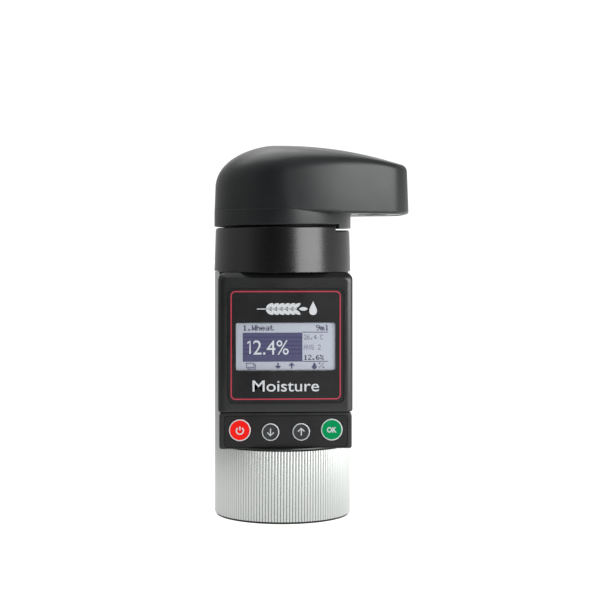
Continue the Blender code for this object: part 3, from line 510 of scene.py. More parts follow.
def copies_mesh(name, places, unit_mesh, material, turn=0.0, seed=1):
    """A mesh repeated at points through Geometry Nodes."""
    unit = scratch_object(unit_mesh)
    values = {"Copy": unit, "Turn": turn, "Seed": seed}
    mesh = grown_mesh(name, points_mesh(places), scattered(f"{name} copies"), values, material)
    bpy.data.objects.remove(unit, do_unlink=True)
    return mesh


# ---------------------------------------------------------------- materials

def linear(code):
    """An sRGB hex colour such as "3a3b3d" as linear RGBA."""
    parts = [int(code[i:i + 2], 16) / 255 for i in (0, 2, 4)]
    return (*((c / 12.92 if c <= 0.04045 else ((c + 0.055) / 1.055) ** 2.4) for c in parts), 1.0)


def hex_of(colour):
    """A colour property, already in sRGB, as a hex code."""
    return "".join(f"{round(min(max(c, 0.0), 1.0) * 255):02x}" for c in colour[:3])


FINISHED = {}


def surface(name, colour, roughness, metallic=0.0, grain=0.5 * MM, shade=0.06, rough_shade=0.06,
            relief=0.02 * MM, stretch=(1, 1, 1), **sockets):
    """A Principled surface whose colour, roughness and relief vary with a noise of a real grain size."""
    if name in FINISHED:
        return FINISHED[name]
    material = bpy.data.materials.new(name)
    FINISHED[name] = material
    material.use_nodes = True
    tree = material.node_tree
    shader = tree.nodes["Principled BSDF"]
    place = add_node(tree, "ShaderNodeTexCoord").outputs["Object"]
    mapping = add_node(tree, "ShaderNodeMapping", place)
    mapping.inputs["Scale"].default_value = stretch
    noise = add_node(tree, "ShaderNodeTexNoise", mapping.outputs[0])
    noise.inputs["Scale"].default_value = 1 / grain
    noise.inputs["Detail"].default_value = 3.0
    broad = add_node(tree, "ShaderNodeTexNoise", mapping.outputs[0])
    broad.inputs["Scale"].default_value = 1 / (40 * grain)
    broad.inputs["Detail"].default_value = 2.0
    base = linear(colour)
    dark = tuple(c * (1 - shade) for c in base[:3]) + (1.0,)
    light = tuple(min(c * (1 + shade), 1.0) for c in base[:3]) + (1.0,)
    both = add_node(tree, "ShaderNodeMath", noise.outputs["Fac"], broad.outputs["Fac"], operation='ADD')
    half = add_node(tree, "ShaderNodeMath", both.outputs[0], 0.5, operation='MULTIPLY')
    ramp = add_node(tree, "ShaderNodeMapRange", half.outputs[0], 0.35, 0.65, 0.0, 1.0)
    mix = add_node(tree, "ShaderNodeMix", data_type='RGBA')
    tree.links.new(ramp.outputs[0], mix.inputs["Factor"])
    mix.inputs[6].default_value = dark
    mix.inputs[7].default_value = light
    tree.links.new(mix.outputs[2], shader.inputs["Base Color"])
    rough = add_node(tree, "ShaderNodeMapRange", half.outputs[0], 0.3, 0.7,
                     max(roughness - rough_shade, 0.02), roughness + rough_shade)
    tree.links.new(rough.outputs[0], shader.inputs["Roughness"])
    bump = add_node(tree, "ShaderNodeBump")
    bump.inputs["Distance"].default_value = relief
    bump.inputs["Strength"].default_value = 1.0
    tree.links.new(noise.outputs["Fac"], bump.inputs["Height"])
    tree.links.new(bump.outputs[0], shader.inputs["Normal"])
    shader.inputs["Metallic"].default_value = metallic
    for label, value in sockets.items():
        shader.inputs[label.replace("_", " ")].default_value = value
    return material


def anodised_aluminium():
    """Extruded and satin anodised: pale, soft streaks along the draw direction, and painted shade that
    darkens the grooves.
    """
    metal = bpy.context.scene.meter_tube.metal
    material = surface("satin_anodised_aluminium", hex_of(metal), 0.40, 1.0, grain=0.6 * MM, shade=0.02,
                       rough_shade=0.03, relief=0.001 * MM, stretch=(1, 1, 0.05))
    tree = material.node_tree
    place = add_node(tree, "ShaderNodeSeparateXYZ", add_node(tree, "ShaderNodeTexCoord").outputs["Object"])
    level = add_node(tree, "ShaderNodeCombineXYZ", place.outputs[0], place.outputs[1], 0.0)
    away = add_node(tree, "ShaderNodeVectorMath", level.outputs[0], operation='LENGTH')
    # painted shade: the colour falls to 0.55 of itself towards the bottom of each groove
    groove = add_node(tree, "ShaderNodeMapRange", away.outputs["Value"], TUBE_RADIUS - 0.40 * MM,
                      TUBE_RADIUS - 0.08 * MM, 0.55, 1.0)
    shader = tree.nodes["Principled BSDF"]
    plain = shader.inputs["Base Color"].links[0].from_socket
    painted_groove_shade = add_node(tree, "ShaderNodeVectorMath", plain, operation='SCALE')
    tree.links.new(groove.outputs[0], painted_groove_shade.inputs["Scale"])
    tree.links.new(painted_groove_shade.outputs[0], shader.inputs["Base Color"])
    return material


def turned_aluminium():
    """Turned on a lathe: fine rings, drawn as a grain stretched around the axis by its height alone."""
    return surface("lathe_turned_aluminium", "c6c8ca", 0.28, 1.0, grain=0.4 * MM, shade=0.04,
                   relief=0.006 * MM, stretch=(0.05, 0.05, 1))


def satin_abs():
    """Black ABS from a fine eroded mould: an even satin with a slight mottled sheen."""
    plastic = bpy.context.scene.meter_panel.plastic
    return surface("satin_black_abs", hex_of(plastic), 0.32, grain=0.45 * MM, shade=0.12, relief=0.012 * MM)


def collar_abs():
    """The same ABS from a smoother mould, so that highlights are tighter."""
    return surface("smooth_black_abs", "0c0c0d", 0.27, grain=0.6 * MM, shade=0.1, rough_shade=0.03,
                   relief=0.003 * MM)


def eroded_nylon():
    """Glass-filled nylon from a spark-eroded mould: charcoal, with a fine dull grain."""
    nylon = bpy.context.scene.meter_lid.nylon
    return surface("eroded_charcoal_nylon", hex_of(nylon), 0.38, grain=0.5 * MM, shade=0.14,
                   relief=0.02 * MM, Specular_IOR_Level=0.36)


def neck_nylon():
    """The same nylon in near black, darker than the lid, moulded smooth for the thread."""
    return surface("smooth_black_nylon", "0c0c0d", 0.5, grain=0.5 * MM, shade=0.1, relief=0.004 * MM,
                   Specular_IOR_Level=0.25)


def print_film():
    """Polyester overlay with a velvet-textured face: tiny pits that glint, drawn at half a millimetre."""
    return surface("textured_print_film", "111113", 0.38, grain=0.55 * MM, shade=0.30, rough_shade=0.10,
                   relief=0.012 * MM, Specular_IOR_Level=0.3)


def ink(name, colour, roughness=0.45):
    """Screen-printed ink: flat, with the film's faint mottle under it."""
    return surface(name, colour, roughness, grain=0.5 * MM, shade=0.03, relief=0.004 * MM)


def ground_steel():
    """Hardened steel, ground: grey, with short fine scratches."""
    return surface("ground_steel", "9a9a9c", 0.34, 1.0, grain=0.25 * MM, shade=0.08, relief=0.01 * MM,
                   stretch=(1, 0.15, 1))


def zinc_steel():
    """Zinc-plated screws: bright grey with a slight blotch."""
    return surface("zinc_plated_steel", "b4b5b1", 0.30, 1.0, grain=0.6 * MM, shade=0.08, relief=0.004 * MM)


def clear_lens():
    """Hard-coated acrylic: nearly all light passes, and a faint gloss stays."""
    return surface("hard_coated_acrylic", "101418", 0.08, grain=2 * MM, shade=0.01, rough_shade=0.01,
                   relief=0.0005 * MM, Alpha=0.06, Specular_IOR_Level=0.3)


HIDDEN_FINISHES = {
    "nitrile_rubber": ("1b1b1b", 0.7, 0.0), "wire_jacket": ("a81f1f", 0.4, 0.0),
    "white_diffuser": ("e8e8ea", 0.5, 0.0), "circuit_board": ("14522c", 0.35, 0.0),
    "switch_body": ("1c1c1c", 0.45, 0.0), "acetal": ("e4e2da", 0.42, 0.0), "brass": ("c9a45c", 0.28, 1.0),
    "battery_jacket": ("30343c", 0.3, 0.4), "black_abs": ("18181a", 0.4, 0.0),
}


def hidden_finish(key):
    """Finishes of the pieces inside, each with its own grain and mottle."""
    colour, roughness, metallic = HIDDEN_FINISHES[key]
    return surface(f"{key}_inside", colour, roughness, metallic)


# ---------------------------------------------------------------- tube and base

TUBE_RADIUS = TUBE_HIGH[0]
TUBE_INNER = 34.5 * MM
FRONT_CUT = -12.5 * MM
BASE_SCREWS = [on_circle(31.6 * MM, pi / 4 + k * pi / 2) for k in range(4)]
SPIGOT_RADIUS = 34.2 * MM
FOOT_PADS = ((-22 * MM, -14 * MM), (22 * MM, -14 * MM))
HATCH_AXIS_Y, HATCH_AXIS_Z = 5.9 * MM, 2.1 * MM
HATCH_PIN_WAY = 1.1 * MM
HATCH_BARREL = 1.8 * MM
HATCH_GRIPS = [21.0 * MM, 22.4 * MM, 23.8 * MM, 25.2 * MM]


def lined(mesh, radius):
    """Close an open outer skin with an inner wall at a radius from the vertical axis."""
    shape = bmesh.new()
    shape.from_mesh(mesh)
    rims = [edge.verts[:] for edge in shape.edges if edge.is_boundary]
    faces = [face.verts[:] for face in shape.faces]
    inner = {}
    for vert in shape.verts[:]:
        away = hypot(vert.co.x, vert.co.y)
        inner[vert] = shape.verts.new((vert.co.x * radius / away, vert.co.y * radius / away, vert.co.z))
    for corners in faces:
        shape.faces.new([inner[corner] for corner in reversed(corners)])
    for one, two in rims:
        shape.faces.new((one, two, inner[two], inner[one]))
    bpy.data.meshes.remove(mesh)
    return closed_mesh("tube", shape)


def round_tool(x, y, radius, low, high, steps=32):
    """A plain upright cylinder used for cutting."""
    return sleeve_mesh("tool", 0, radius, low, high, steps, (x, y))


def block_mesh(low, high):
    shape = bmesh.new()
    bmesh.ops.create_cube(shape, size=1.0)
    for vert in shape.verts:
        vert.co = [a + (b - a) * (c + 0.5) for a, b, c in zip(low, high, vert.co)]
    return closed_mesh("block", shape)


def cross_head(name, radius, height):
    """A pan head with a cross recess, its seat at z = 0 and its crown below it."""
    crown = [(radius * sin(radians(a)), height * (0.45 + 0.55 * cos(radians(a)))) for a in range(0, 91, 10)]
    profile = crown + [(radius, height * 0.1), (radius - 0.1 * MM, 0), (0, 0)]
    head = turned_mesh(name, [(r, -z) for r, z in profile], 40)
    blades = []
    for turn in (0, pi / 2):
        blade = block_mesh((-radius * 0.62, -radius * 0.13, height * 0.35),
                           (radius * 0.62, radius * 0.13, height * 1.5))
        blade.transform(Matrix.Rotation(turn, 4, 'Z') @ Matrix.Diagonal((1, 1, -1, 1)))
        shape = bmesh.new()
        shape.from_mesh(blade)
        blades.append(closed_mesh("blade", shape))
    return cut_mesh(head, *blades)


def add_screws(name, body, places, seat, head, shank, seed, replaced):
    """Cross-head screws pointing up: head is a radius and a height, shank a radius and a tip's height."""
    steel = zinc_steel()
    heads = copies_mesh(f"{name}_heads", [(x, y, seat) for x, y in places], cross_head("head", *head), steel,
                        turn=2 * pi, seed=seed)
    radius, tip = shank
    shanks = [round_tool(x, y, radius, seat - 0.05 * MM, tip) for x, y in places]
    add_piece(joined_mesh(name, [heads, *shanks]), body, steel, replaced)


def on_hatch_axis(mesh):
    """Lay a mesh made about the Z axis along the hatch's hinge."""
    mesh.transform(Matrix.Translation((0, HATCH_AXIS_Y, HATCH_AXIS_Z)) @ Matrix.Rotation(pi / 2, 4, 'Y'))
    return mesh


class BuildTube(bpy.types.Operator):
    """Build the ribbed tube, the base cap, the battery hatch and the base screws"""
    bl_idname = "meter.build_tube"
    bl_label = "Build tube and base"

    def execute(self, context):
        given = context.scene.meter_tube
        metal = anodised_aluminium()
        values = {"Ribs": given.ribs, "Radius": TUBE_RADIUS, "Depth": given.rib_depth, "Bottom": TUBE_LOW[2],
                  "Ledge": given.ledge, "Top": TUBE_HIGH[2], "Cut": FRONT_CUT}
        skin = grown_mesh("tube", bpy.data.meshes.new("start"), ribbed_skin(), values, metal)
        tube = lined(skin, TUBE_INNER)
        add_piece(tube, "housing", metal, ("body_tube",), sharp=60)
        self.build_cap()
        self.build_hatch()
        add_screws("base_screws", "housing", BASE_SCREWS, 2.45 * MM, (2.45 * MM, 1.7 * MM),
                   (1.25 * MM, 18 * MM), 4, tuple(f"base_screw_{k + 1}" for k in range(4)))
        return {'FINISHED'}

    def build_cap(self):
        """A plate with a rounded rim and a spigot up the tube, cut for the hatch, its pin and the screws."""
        radius = CAP_HIGH[0]
        top = CAP_HIGH[2]
        bend, flange, chamfer = 0.35 * MM, 0.7 * MM, 0.5 * MM
        profile = [(0, 0), (radius - bend, 0), *arc(radius - bend, bend, bend, -60, 0, 3),
                   (radius, flange - 0.1 * MM), (radius - 0.1 * MM, flange), (SPIGOT_RADIUS, flange),
                   (SPIGOT_RADIUS, top - chamfer), (SPIGOT_RADIUS - chamfer, top), (0, top)]
        cap = turned_mesh("base_plate", profile, 180)
        half = HATCH_HIGH[0] + 0.3 * MM
        below, above = -1 * MM, 8 * MM
        tools = [block_mesh((-half, 3.6 * MM, below), (half, HATCH_HIGH[1] + 0.3 * MM, above))]
        for x, y in BASE_SCREWS:
            tools.append(round_tool(x, y, 2.9 * MM, below, 2.9 * MM))
            tools.append(round_tool(x, y, 1.6 * MM, 2 * MM, above))
        for place in FOOT_PADS:
            tools.append(sleeve_mesh("groove", 4.2 * MM, 4.6 * MM, below, 0.35 * MM, 48, place))
        tools.append(on_hatch_axis(sleeve_mesh("pin_way", 0, HATCH_PIN_WAY, -18.9 * MM, 18.9 * MM, 24)))
        add_piece(cut_mesh(cap, *tools), "housing", satin_abs(), ("base_cap",))

    def build_hatch(self):
        """A flat door on a barrel, bored for its pin, with grip ribs across it."""
        half, back = HATCH_HIGH[0], HATCH_HIGH[1]
        low, high = 0.3 * MM, 2.7 * MM
        door = block_mesh((-half, HATCH_AXIS_Y, low), (half, back, high))
        end = half - 0.1 * MM
        barrel = on_hatch_axis(sleeve_mesh("barrel", 0, HATCH_BARREL, -end, end, 40))
        bore = on_hatch_axis(sleeve_mesh("bore", 0, HATCH_PIN_WAY, -half - MM, half + MM, 32))
        door = combined_mesh("hatch_door", 'UNION', door, [barrel])
        grooves = [block_mesh((-8 * MM, y, low - MM), (8 * MM, y + 0.7 * MM, low + 0.5 * MM))
                   for y in HATCH_GRIPS]
        door = bevelled(cut_mesh(door, bore, *grooves), 0.15 * MM)
        add_piece(door, "battery_hatch", satin_abs(), ("battery_hatch",))


# ---------------------------------------------------------------- front panel

PANEL_FRONT = DISPLAY_LOW[1]
PANEL_BACK = DISPLAY_HIGH[1]
PLATE = 2.5 * MM
WINDOW_CORNER = 1.9 * MM
LENS_CORNER = 1.5 * MM
WALL = 2.2 * MM
RECESS = 0.8 * MM
ROLL_DEPTH = 2.3 * MM
ROLL_DEPTHS = [depth * MM for depth in (2.3, 2.2, 2.0, 1.7, 1.3, 0.9, 0.6, 0.4, 0.25, 0.14, 0.06, 0.015, 0)]
FLANGE_RADIUS = 37.0 * MM
FLANGE_HEIGHT = 1.2 * MM
PRINT = 0.035 * MM              # thickness of the ink, so that it stands clear of the film
BOARD_SCREWS = [(side * 29.5 * MM, z) for z in (65.5 * MM, 114.0 * MM) for side in (-1, 1)]


def tray_rings(low, high, roll, roll_depth, bevel, top_radius):
    """The outside of a housing, from its back edge to the rim of its flat front.

    Its sides roll over in an ellipse, its top has a straight bevel and its bottom a small rounding.
    """
    rings = []
    edge = 0.4 * MM
    for depth in (PANEL_BACK - PANEL_FRONT, *ROLL_DEPTHS):
        side = 1 - min(depth / roll_depth, 1.0)
        side = roll * (1 - sqrt(1 - side * side))
        low_edge = 1 - min(depth / edge, 1.0)
        low_edge = edge * (1 - sqrt(1 - low_edge * low_edge))
        top = bevel * max(1 - depth / ROLL_DEPTH, 0.0) if bevel > edge else low_edge
        if bevel > edge:
            top += 0.22 * MM * max(1 - depth / (0.14 * MM), 0.0) ** 2
        bend = top_radius + (2.4 * MM - top_radius) * max(1 - depth / ROLL_DEPTH, 0.0)
        outline = rounded_rectangle(low[0] + side, high[0] - side, low[2] + low_edge, high[2] - top,
                                    1.2 * MM, top_radius=bend)
        rings.append([(x, PANEL_FRONT + depth, z) for x, z in outline])
    return rings


def inner_rings(low, high):
    """The inside of a housing, from the back of its plate to its back edge."""
    return [frame_ring(low, high, WALL, 0.6 * MM, PANEL_FRONT + PLATE),
            frame_ring(low, high, WALL, 0.6 * MM, PANEL_BACK)]


def grown_box(low, high, by):
    """A box's corners, grown in width and height."""
    return (low[0] - by, 0, low[2] - by), (high[0] + by, 0, high[2] + by)


class BuildPanel(bpy.types.Operator):
    """Build the two housings on the front, their printed films and their markings"""
    bl_idname = "meter.build_panel"
    bl_label = "Build front panel"

    def execute(self, context):
        given = context.scene.meter_panel
        self.build_display(given)
        self.build_keypad()
        self.build_films()
        self.build_prints(given)
        return {'FINISHED'}

    def build_display(self, given):
        """A case with rolled sides, a recess for its film, a window, and bosses for the board's screws."""
        recess = grown_box(OVERLAY_LOW, OVERLAY_HIGH, 0.3 * MM)
        window = grown_box(WINDOW_LOW, WINDOW_HIGH, 0.5 * MM)
        floor = PANEL_FRONT + RECESS
        rings = tray_rings(DISPLAY_LOW, DISPLAY_HIGH, given.roll, ROLL_DEPTH, given.bevel, 4.0 * MM)
        rings += [frame_ring(*recess, -0.15 * MM, 3.2 * MM, PANEL_FRONT),
                  frame_ring(*recess, 0, 3.1 * MM, PANEL_FRONT + 0.15 * MM),
                  frame_ring(*recess, 0, 3.1 * MM, floor),
                  frame_ring(*window, 0, 1.5 * MM, floor),
                  frame_ring(*window, 0, 1.5 * MM, PANEL_FRONT + PLATE)]
        rings += inner_rings(DISPLAY_LOW, DISPLAY_HIGH)
        shell = rings_to_mesh("display_case", rings, joined=True)
        shell = cut_mesh(shell, round_tool(0, 0, 27 * MM, 120 * MM, 140 * MM, 96))
        bosses = []
        for x, z in BOARD_SCREWS:
            boss = sleeve_mesh("boss", 1.3 * MM, 2.6 * MM, 0, 3.9 * MM, 32)
            place = Matrix.Translation((x, PANEL_FRONT + PLATE - 0.01 * MM, z))
            boss.transform(place @ Matrix.Rotation(-pi / 2, 4, 'X'))
            bosses.append(boss)
        add_piece(joined_mesh("display_case", [shell, *bosses]), "housing", satin_abs(),
                  ("display_housing",))

    def build_keypad(self):
        """A shallow tray with a round flange under it, and a way through it for each key."""
        low = (-KEYPAD_HIGH[0], 0, KEYPAD_LOW[2] + 0.6 * MM)
        high = (KEYPAD_HIGH[0], 0, KEYPAD_HIGH[2])
        recess = grown_box(FILM_LOW, FILM_HIGH, 0.3 * MM)
        floor = PANEL_FRONT + RECESS
        rings = tray_rings(low, high, 0.5 * MM, 0.6 * MM, 0.4 * MM, 1.2 * MM)
        rings += [frame_ring(*recess, -0.15 * MM, 1.95 * MM, PANEL_FRONT),
                  frame_ring(*recess, 0, 1.8 * MM, PANEL_FRONT + 0.15 * MM),
                  frame_ring(*recess, 0, 1.8 * MM, floor)]
        hollow = [(x, PANEL_FRONT + PLATE, z) for x, _, z in frame_ring(low, high, WALL, 0.6 * MM, 0)]
        back = frame_ring(low, high, WALL, 0.6 * MM, PANEL_BACK)
        shape = bmesh.new()
        outside = [[shape.verts.new(point) for point in ring] for ring in rings]
        inside = [[shape.verts.new(point) for point in ring] for ring in (hollow, back)]
        bridge(shape, outside)
        bridge(shape, inside)
        bridge(shape, [outside[0], inside[1]])
        shape.faces.new(outside[-1])
        shape.faces.new(inside[0])
        case = closed_mesh("keypad_case", shape)
        start = atan2(PANEL_BACK, sqrt(FLANGE_RADIUS ** 2 - PANEL_BACK ** 2))
        turns = [start - k * (pi + 2 * start) / 96 for k in range(97)]
        top, low_edge, top_edge = FLANGE_HEIGHT, 0.3 * MM, 0.2 * MM
        section = ((low_edge, 0), (0.3 * low_edge, 0.3 * low_edge), (0, low_edge), (0, top - top_edge),
                   (0.3 * top_edge, top - 0.3 * top_edge), (top_edge, top), (4 * MM, top))
        flange = rings_to_mesh("flange", [[(*on_circle(FLANGE_RADIUS - inset, turn), KEYPAD_LOW[2] + rise)
                                           for turn in turns] for inset, rise in section])
        case = combined_mesh("keypad_case", 'UNION', case, [flange])
        case = cut_mesh(case, *[key_way(x, z, radius) for _, x, z, radius in KEYS])
        add_piece(case, "housing", satin_abs(), ("keypad_housing",))

    def build_films(self):
        """Printed polyester films with a rounded upper edge."""
        edge = 0.06 * MM
        window = grown_box(WINDOW_LOW, WINDOW_HIGH, 0.2 * MM)
        for name, low, high, radius in (("front_film", OVERLAY_LOW, OVERLAY_HIGH, 2.8 * MM),
                                        ("key_film", FILM_LOW, FILM_HIGH, 1.5 * MM)):
            front, back = low[1], high[1]
            outside = [frame_ring(low, high, 0, radius, back), frame_ring(low, high, 0, radius, front + edge),
                       frame_ring(low, high, edge, radius, front)]
            if name == "front_film":
                opening = [frame_ring(*window, 0, WINDOW_CORNER, y) for y in (front, back)]
                film = rings_to_mesh(name, outside + opening, joined=True)
                replaced = ("display_overlay",)
            else:
                film = rings_to_mesh(name, outside)
                film = cut_mesh(film, *[key_way(x, z, radius) for _, x, z, radius in KEYS])
                replaced = ("keypad_film",)
            add_piece(film, "housing", print_film(), replaced)

    def build_prints(self, given):
        """The border line, the word and a generic emblem of an ear of grain and a drop."""
        face = OVERLAY_LOW[1] - 0.005 * MM
        half, low, high, radius = 29.5 * MM, 65.55 * MM, 123.6 * MM, 2.6 * MM
        width = given.line_width
        outer = rounded_rectangle(-half, half, low, high, radius)
        inner = rounded_rectangle(-half + width, half - width, low + width, high - width, radius - width)
        rings = [[(x, y, z) for x, z in outline] for y, outline in
                 ((face + 0.03 * MM, outer), (face, outer), (face, inner), (face + 0.03 * MM, inner))]
        line = rings_to_mesh("border_line", rings, joined=True)
        red = ink("red_violet_ink", hex_of(given.line))
        add_piece(line, "housing", red)
        white = ink("white_ink", "b4b7ba")
        word = text_mesh("panel_word", given.word, 5.9 * MM, 35.6 * MM, PRINT, weight=0.004)
        add_piece(to_panel(word, 0, face, 70.0 * MM), "housing", white)
        add_piece(to_panel(self.emblem(), 0, face, 114.0 * MM), "housing", white)

    def emblem(self):
        """An ear of six pairs of grains with one at its tip, on a stem, and a drop beside it."""
        parts = []
        for k in range(6):
            x = (-8.6 + 2.9 * k) * MM
            for side in (-1, 1):
                grain = plate_mesh("grain", leaf_outline(2.3 * MM, 1.0 * MM), PRINT)
                tilt = Matrix.Rotation(side * radians(32), 4, 'Z')
                grain.transform(Matrix.Translation((x, side * 1.75 * MM, 0)) @ tilt)
                parts.append(grain)
        tip = plate_mesh("grain", leaf_outline(2.3 * MM, 1.0 * MM), PRINT)
        tip.transform(Matrix.Translation((9.4 * MM, 0, 0)))
        parts.append(tip)
        parts.append(stroke_mesh("stem", [[(-15.5 * MM, 0), (6.0 * MM, 0)]], 0.5 * MM, PRINT))
        parts.append(plate_mesh("drop", drop_outline(3.0 * MM, (14.6 * MM, -0.3 * MM)), PRINT))
        return joined_mesh("emblem", parts)


def leaf_outline(half_length, half_width):
    """A pointed oval."""
    upper = [(half_length * cos(radians(a)), half_width * sin(radians(a)) ** 1.4) for a in range(0, 181, 15)]
    return upper + [(x, -y) for x, y in upper[-2:0:-1]]


def drop_outline(radius, centre):
    """A drop standing on its round end."""
    points = []
    for turn in [radians(a) for a in range(0, 360, 10)]:
        across = radius * sin(turn) * sin(turn / 2) ** 1.6
        points.append((centre[0] + across, centre[1] + radius * (0.25 + 1.25 * cos(turn))))
    return points


# ---------------------------------------------------------------- keys

KEYS = [("power_key", -24.6 * MM, 49.4 * MM, 5.85 * MM), ("down_key", -8.2 * MM, 48.3 * MM, 4.75 * MM),
        ("up_key", 8.2 * MM, 48.3 * MM, 4.75 * MM), ("ok_key", 24.6 * MM, 49.4 * MM, 5.85 * MM)]
KEY_STEM = 2.0 * MM             # radius of the stem that presses the switch
KEY_STEM_END = -26 * MM


def facing_front(mesh, x, z):
    """Turn a mesh made about the Z axis so that its heights become depths behind the panel's zero."""
    mesh.transform(Matrix.Translation((x, 0, z)) @ Matrix.Rotation(-pi / 2, 4, 'X'))
    return mesh


def key_way(x, z, radius):
    return facing_front(sleeve_mesh("way", 0, radius + 0.3 * MM, -40 * MM, -25 * MM, 96), x, z)


class BuildKeys(bpy.types.Operator):
    """Build the four keys with their rings and printed symbols"""
    bl_idname = "meter.build_keys"
    bl_label = "Build keys"

    def execute(self, context):
        given = context.scene.meter_keys
        power = surface("red_key_cap", hex_of(given.power), 0.3, grain=0.6 * MM, shade=0.03,
                        relief=0.006 * MM, Specular_IOR_Level=0.06)
        green = surface("green_key_cap", hex_of(given.confirm), 0.3, grain=0.6 * MM, shade=0.03,
                        relief=0.006 * MM, Specular_IOR_Level=0.06)
        black = surface("black_key_cap", "16191b", 0.38, grain=0.6 * MM, shade=0.08, relief=0.006 * MM)
        white = ink("white_key_ink", "aeb1b3", 0.4)
        caps = {"power_key": (power, "red_key"), "ok_key": (green, "green_key")}
        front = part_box("power_key")[0][1]
        for name, x, z, radius in KEYS:
            cap, slot = caps.get(name, (black, "black_key"))
            key = facing_front(turned_mesh(f"{name}_cap", self.cap_profile(radius, front), 96), x, z)
            add_piece(key, name, cap, (name,))
            ring = self.ring_profile(radius - 0.02 * MM, front, given.ring)
            add_piece(facing_front(turned_mesh(f"{name}_ring", ring, 96), x, z), name, white)
            add_piece(to_panel(self.symbol(name), x, front + 0.06 * MM, z), name, white)
        return {'FINISHED'}

    def cap_profile(self, radius, front):
        """Half of a key's section: a slightly dished face, a rounded rim, a skirt and a stem."""
        skirt, back = radius + 0.7 * MM, PANEL_FRONT + PLATE + 0.3 * MM
        face = [(0, 0.12), (radius * 0.5, 0.09), (radius - 0.9 * MM, 0.04), (radius - 0.35 * MM, 0.03),
                (radius - 0.12 * MM, 0.1), (radius - 0.03 * MM, 0.22), (radius, 0.4)]
        return [*((reach, front + depth * MM) for reach, depth in face), (radius, back), (skirt, back),
                (skirt, back + 0.7 * MM), (KEY_STEM, back + 0.7 * MM), (KEY_STEM, KEY_STEM_END),
                (0, KEY_STEM_END)]

    def ring_profile(self, outer, front, width):
        """Half of the section of the white ring around a key."""
        section = ((width, 0), (0.25 * MM, 0), (0.05 * MM, 0.12), (0, 0.3), (0.4 * MM, 0.3), (width, 0.15))
        return [(outer - inset, front + depth * MM) for inset, depth in section]

    def symbol(self, name):
        """The mark on a key: a power sign, the letters OK, or an arrow."""
        thick = 0.12 * MM
        if name == "power_key":
            ring = arc(0, -0.25 * MM, 1.85 * MM, 128, 412, 40)
            return stroke_mesh("power_mark", [ring, [(0, 0.1 * MM), (0, 2.0 * MM)]], 0.72 * MM, thick)
        if name == "ok_key":
            word = text_mesh("ok_mark", "OK", 2.8 * MM, 5.2 * MM, thick, weight=0.035)
            word.transform(Matrix.Translation((0, -1.4 * MM, 0)))
            return word
        way = 1 if name == "up_key" else -1
        lines = [[(0, -1.9 * MM * way), (0, 1.8 * MM * way)],
                 [(-1.7 * MM, 0.25 * MM * way), (0, 1.95 * MM * way), (1.7 * MM, 0.25 * MM * way)]]
        return stroke_mesh(f"{name}_mark", lines, 0.62 * MM, thick)


# ---------------------------------------------------------------- screen

FIELD_LOW, FIELD_HIGH = (-22.96 * MM, 85.76 * MM), (8.97 * MM, 101.3 * MM)
BAND_HEIGHTS = [98.8 * MM, 96.5 * MM, 94.4 * MM, 92.2 * MM, 90.1 * MM]
READING_HEIGHT = 7.6 * MM
READING_BASE = 89.6 * MM
# Each letter is seven rows of five dots from the top, one byte to a row.
DOTS = {
    "1": "040C040404040E", "2": "0E11010204081F", "4": "02060A121F0202",
    "6": "0608101E11110E", "9": "0E11110F01020C", ".": "00000000000C0C", "%": "18190204081303",
    "A": "0E11111F111111", "C": "0E11101010110E", "G": "0E11101711110F", "V": "11111111110A04",
    "W": "11111115151B11", "h": "10101619111111", "e": "00000E111F100E", "a": "00000E010F110F",
    "t": "08081C08080906", "m": "00001A15151515", "l": "0C04040404040E", " ": "00000000000000",
}


def text_dots(text, x, z, step_x, step_z, bold=False):
    """Places of the dots of a line of 5 by 7 characters in fixed cells, its lower left corner at x, z."""
    places = []
    for cell, letter in enumerate(text):
        for down in range(7):
            row = int(DOTS[letter][2 * down:2 * down + 2], 16)
            for k in range(5):
                if row >> (4 - k) & 1:
                    for extra in ((0, 0.55) if bold else (0,)):
                        places.append((x + (6 * cell + k + extra) * step_x, z + (6 - down) * step_z))
    return places


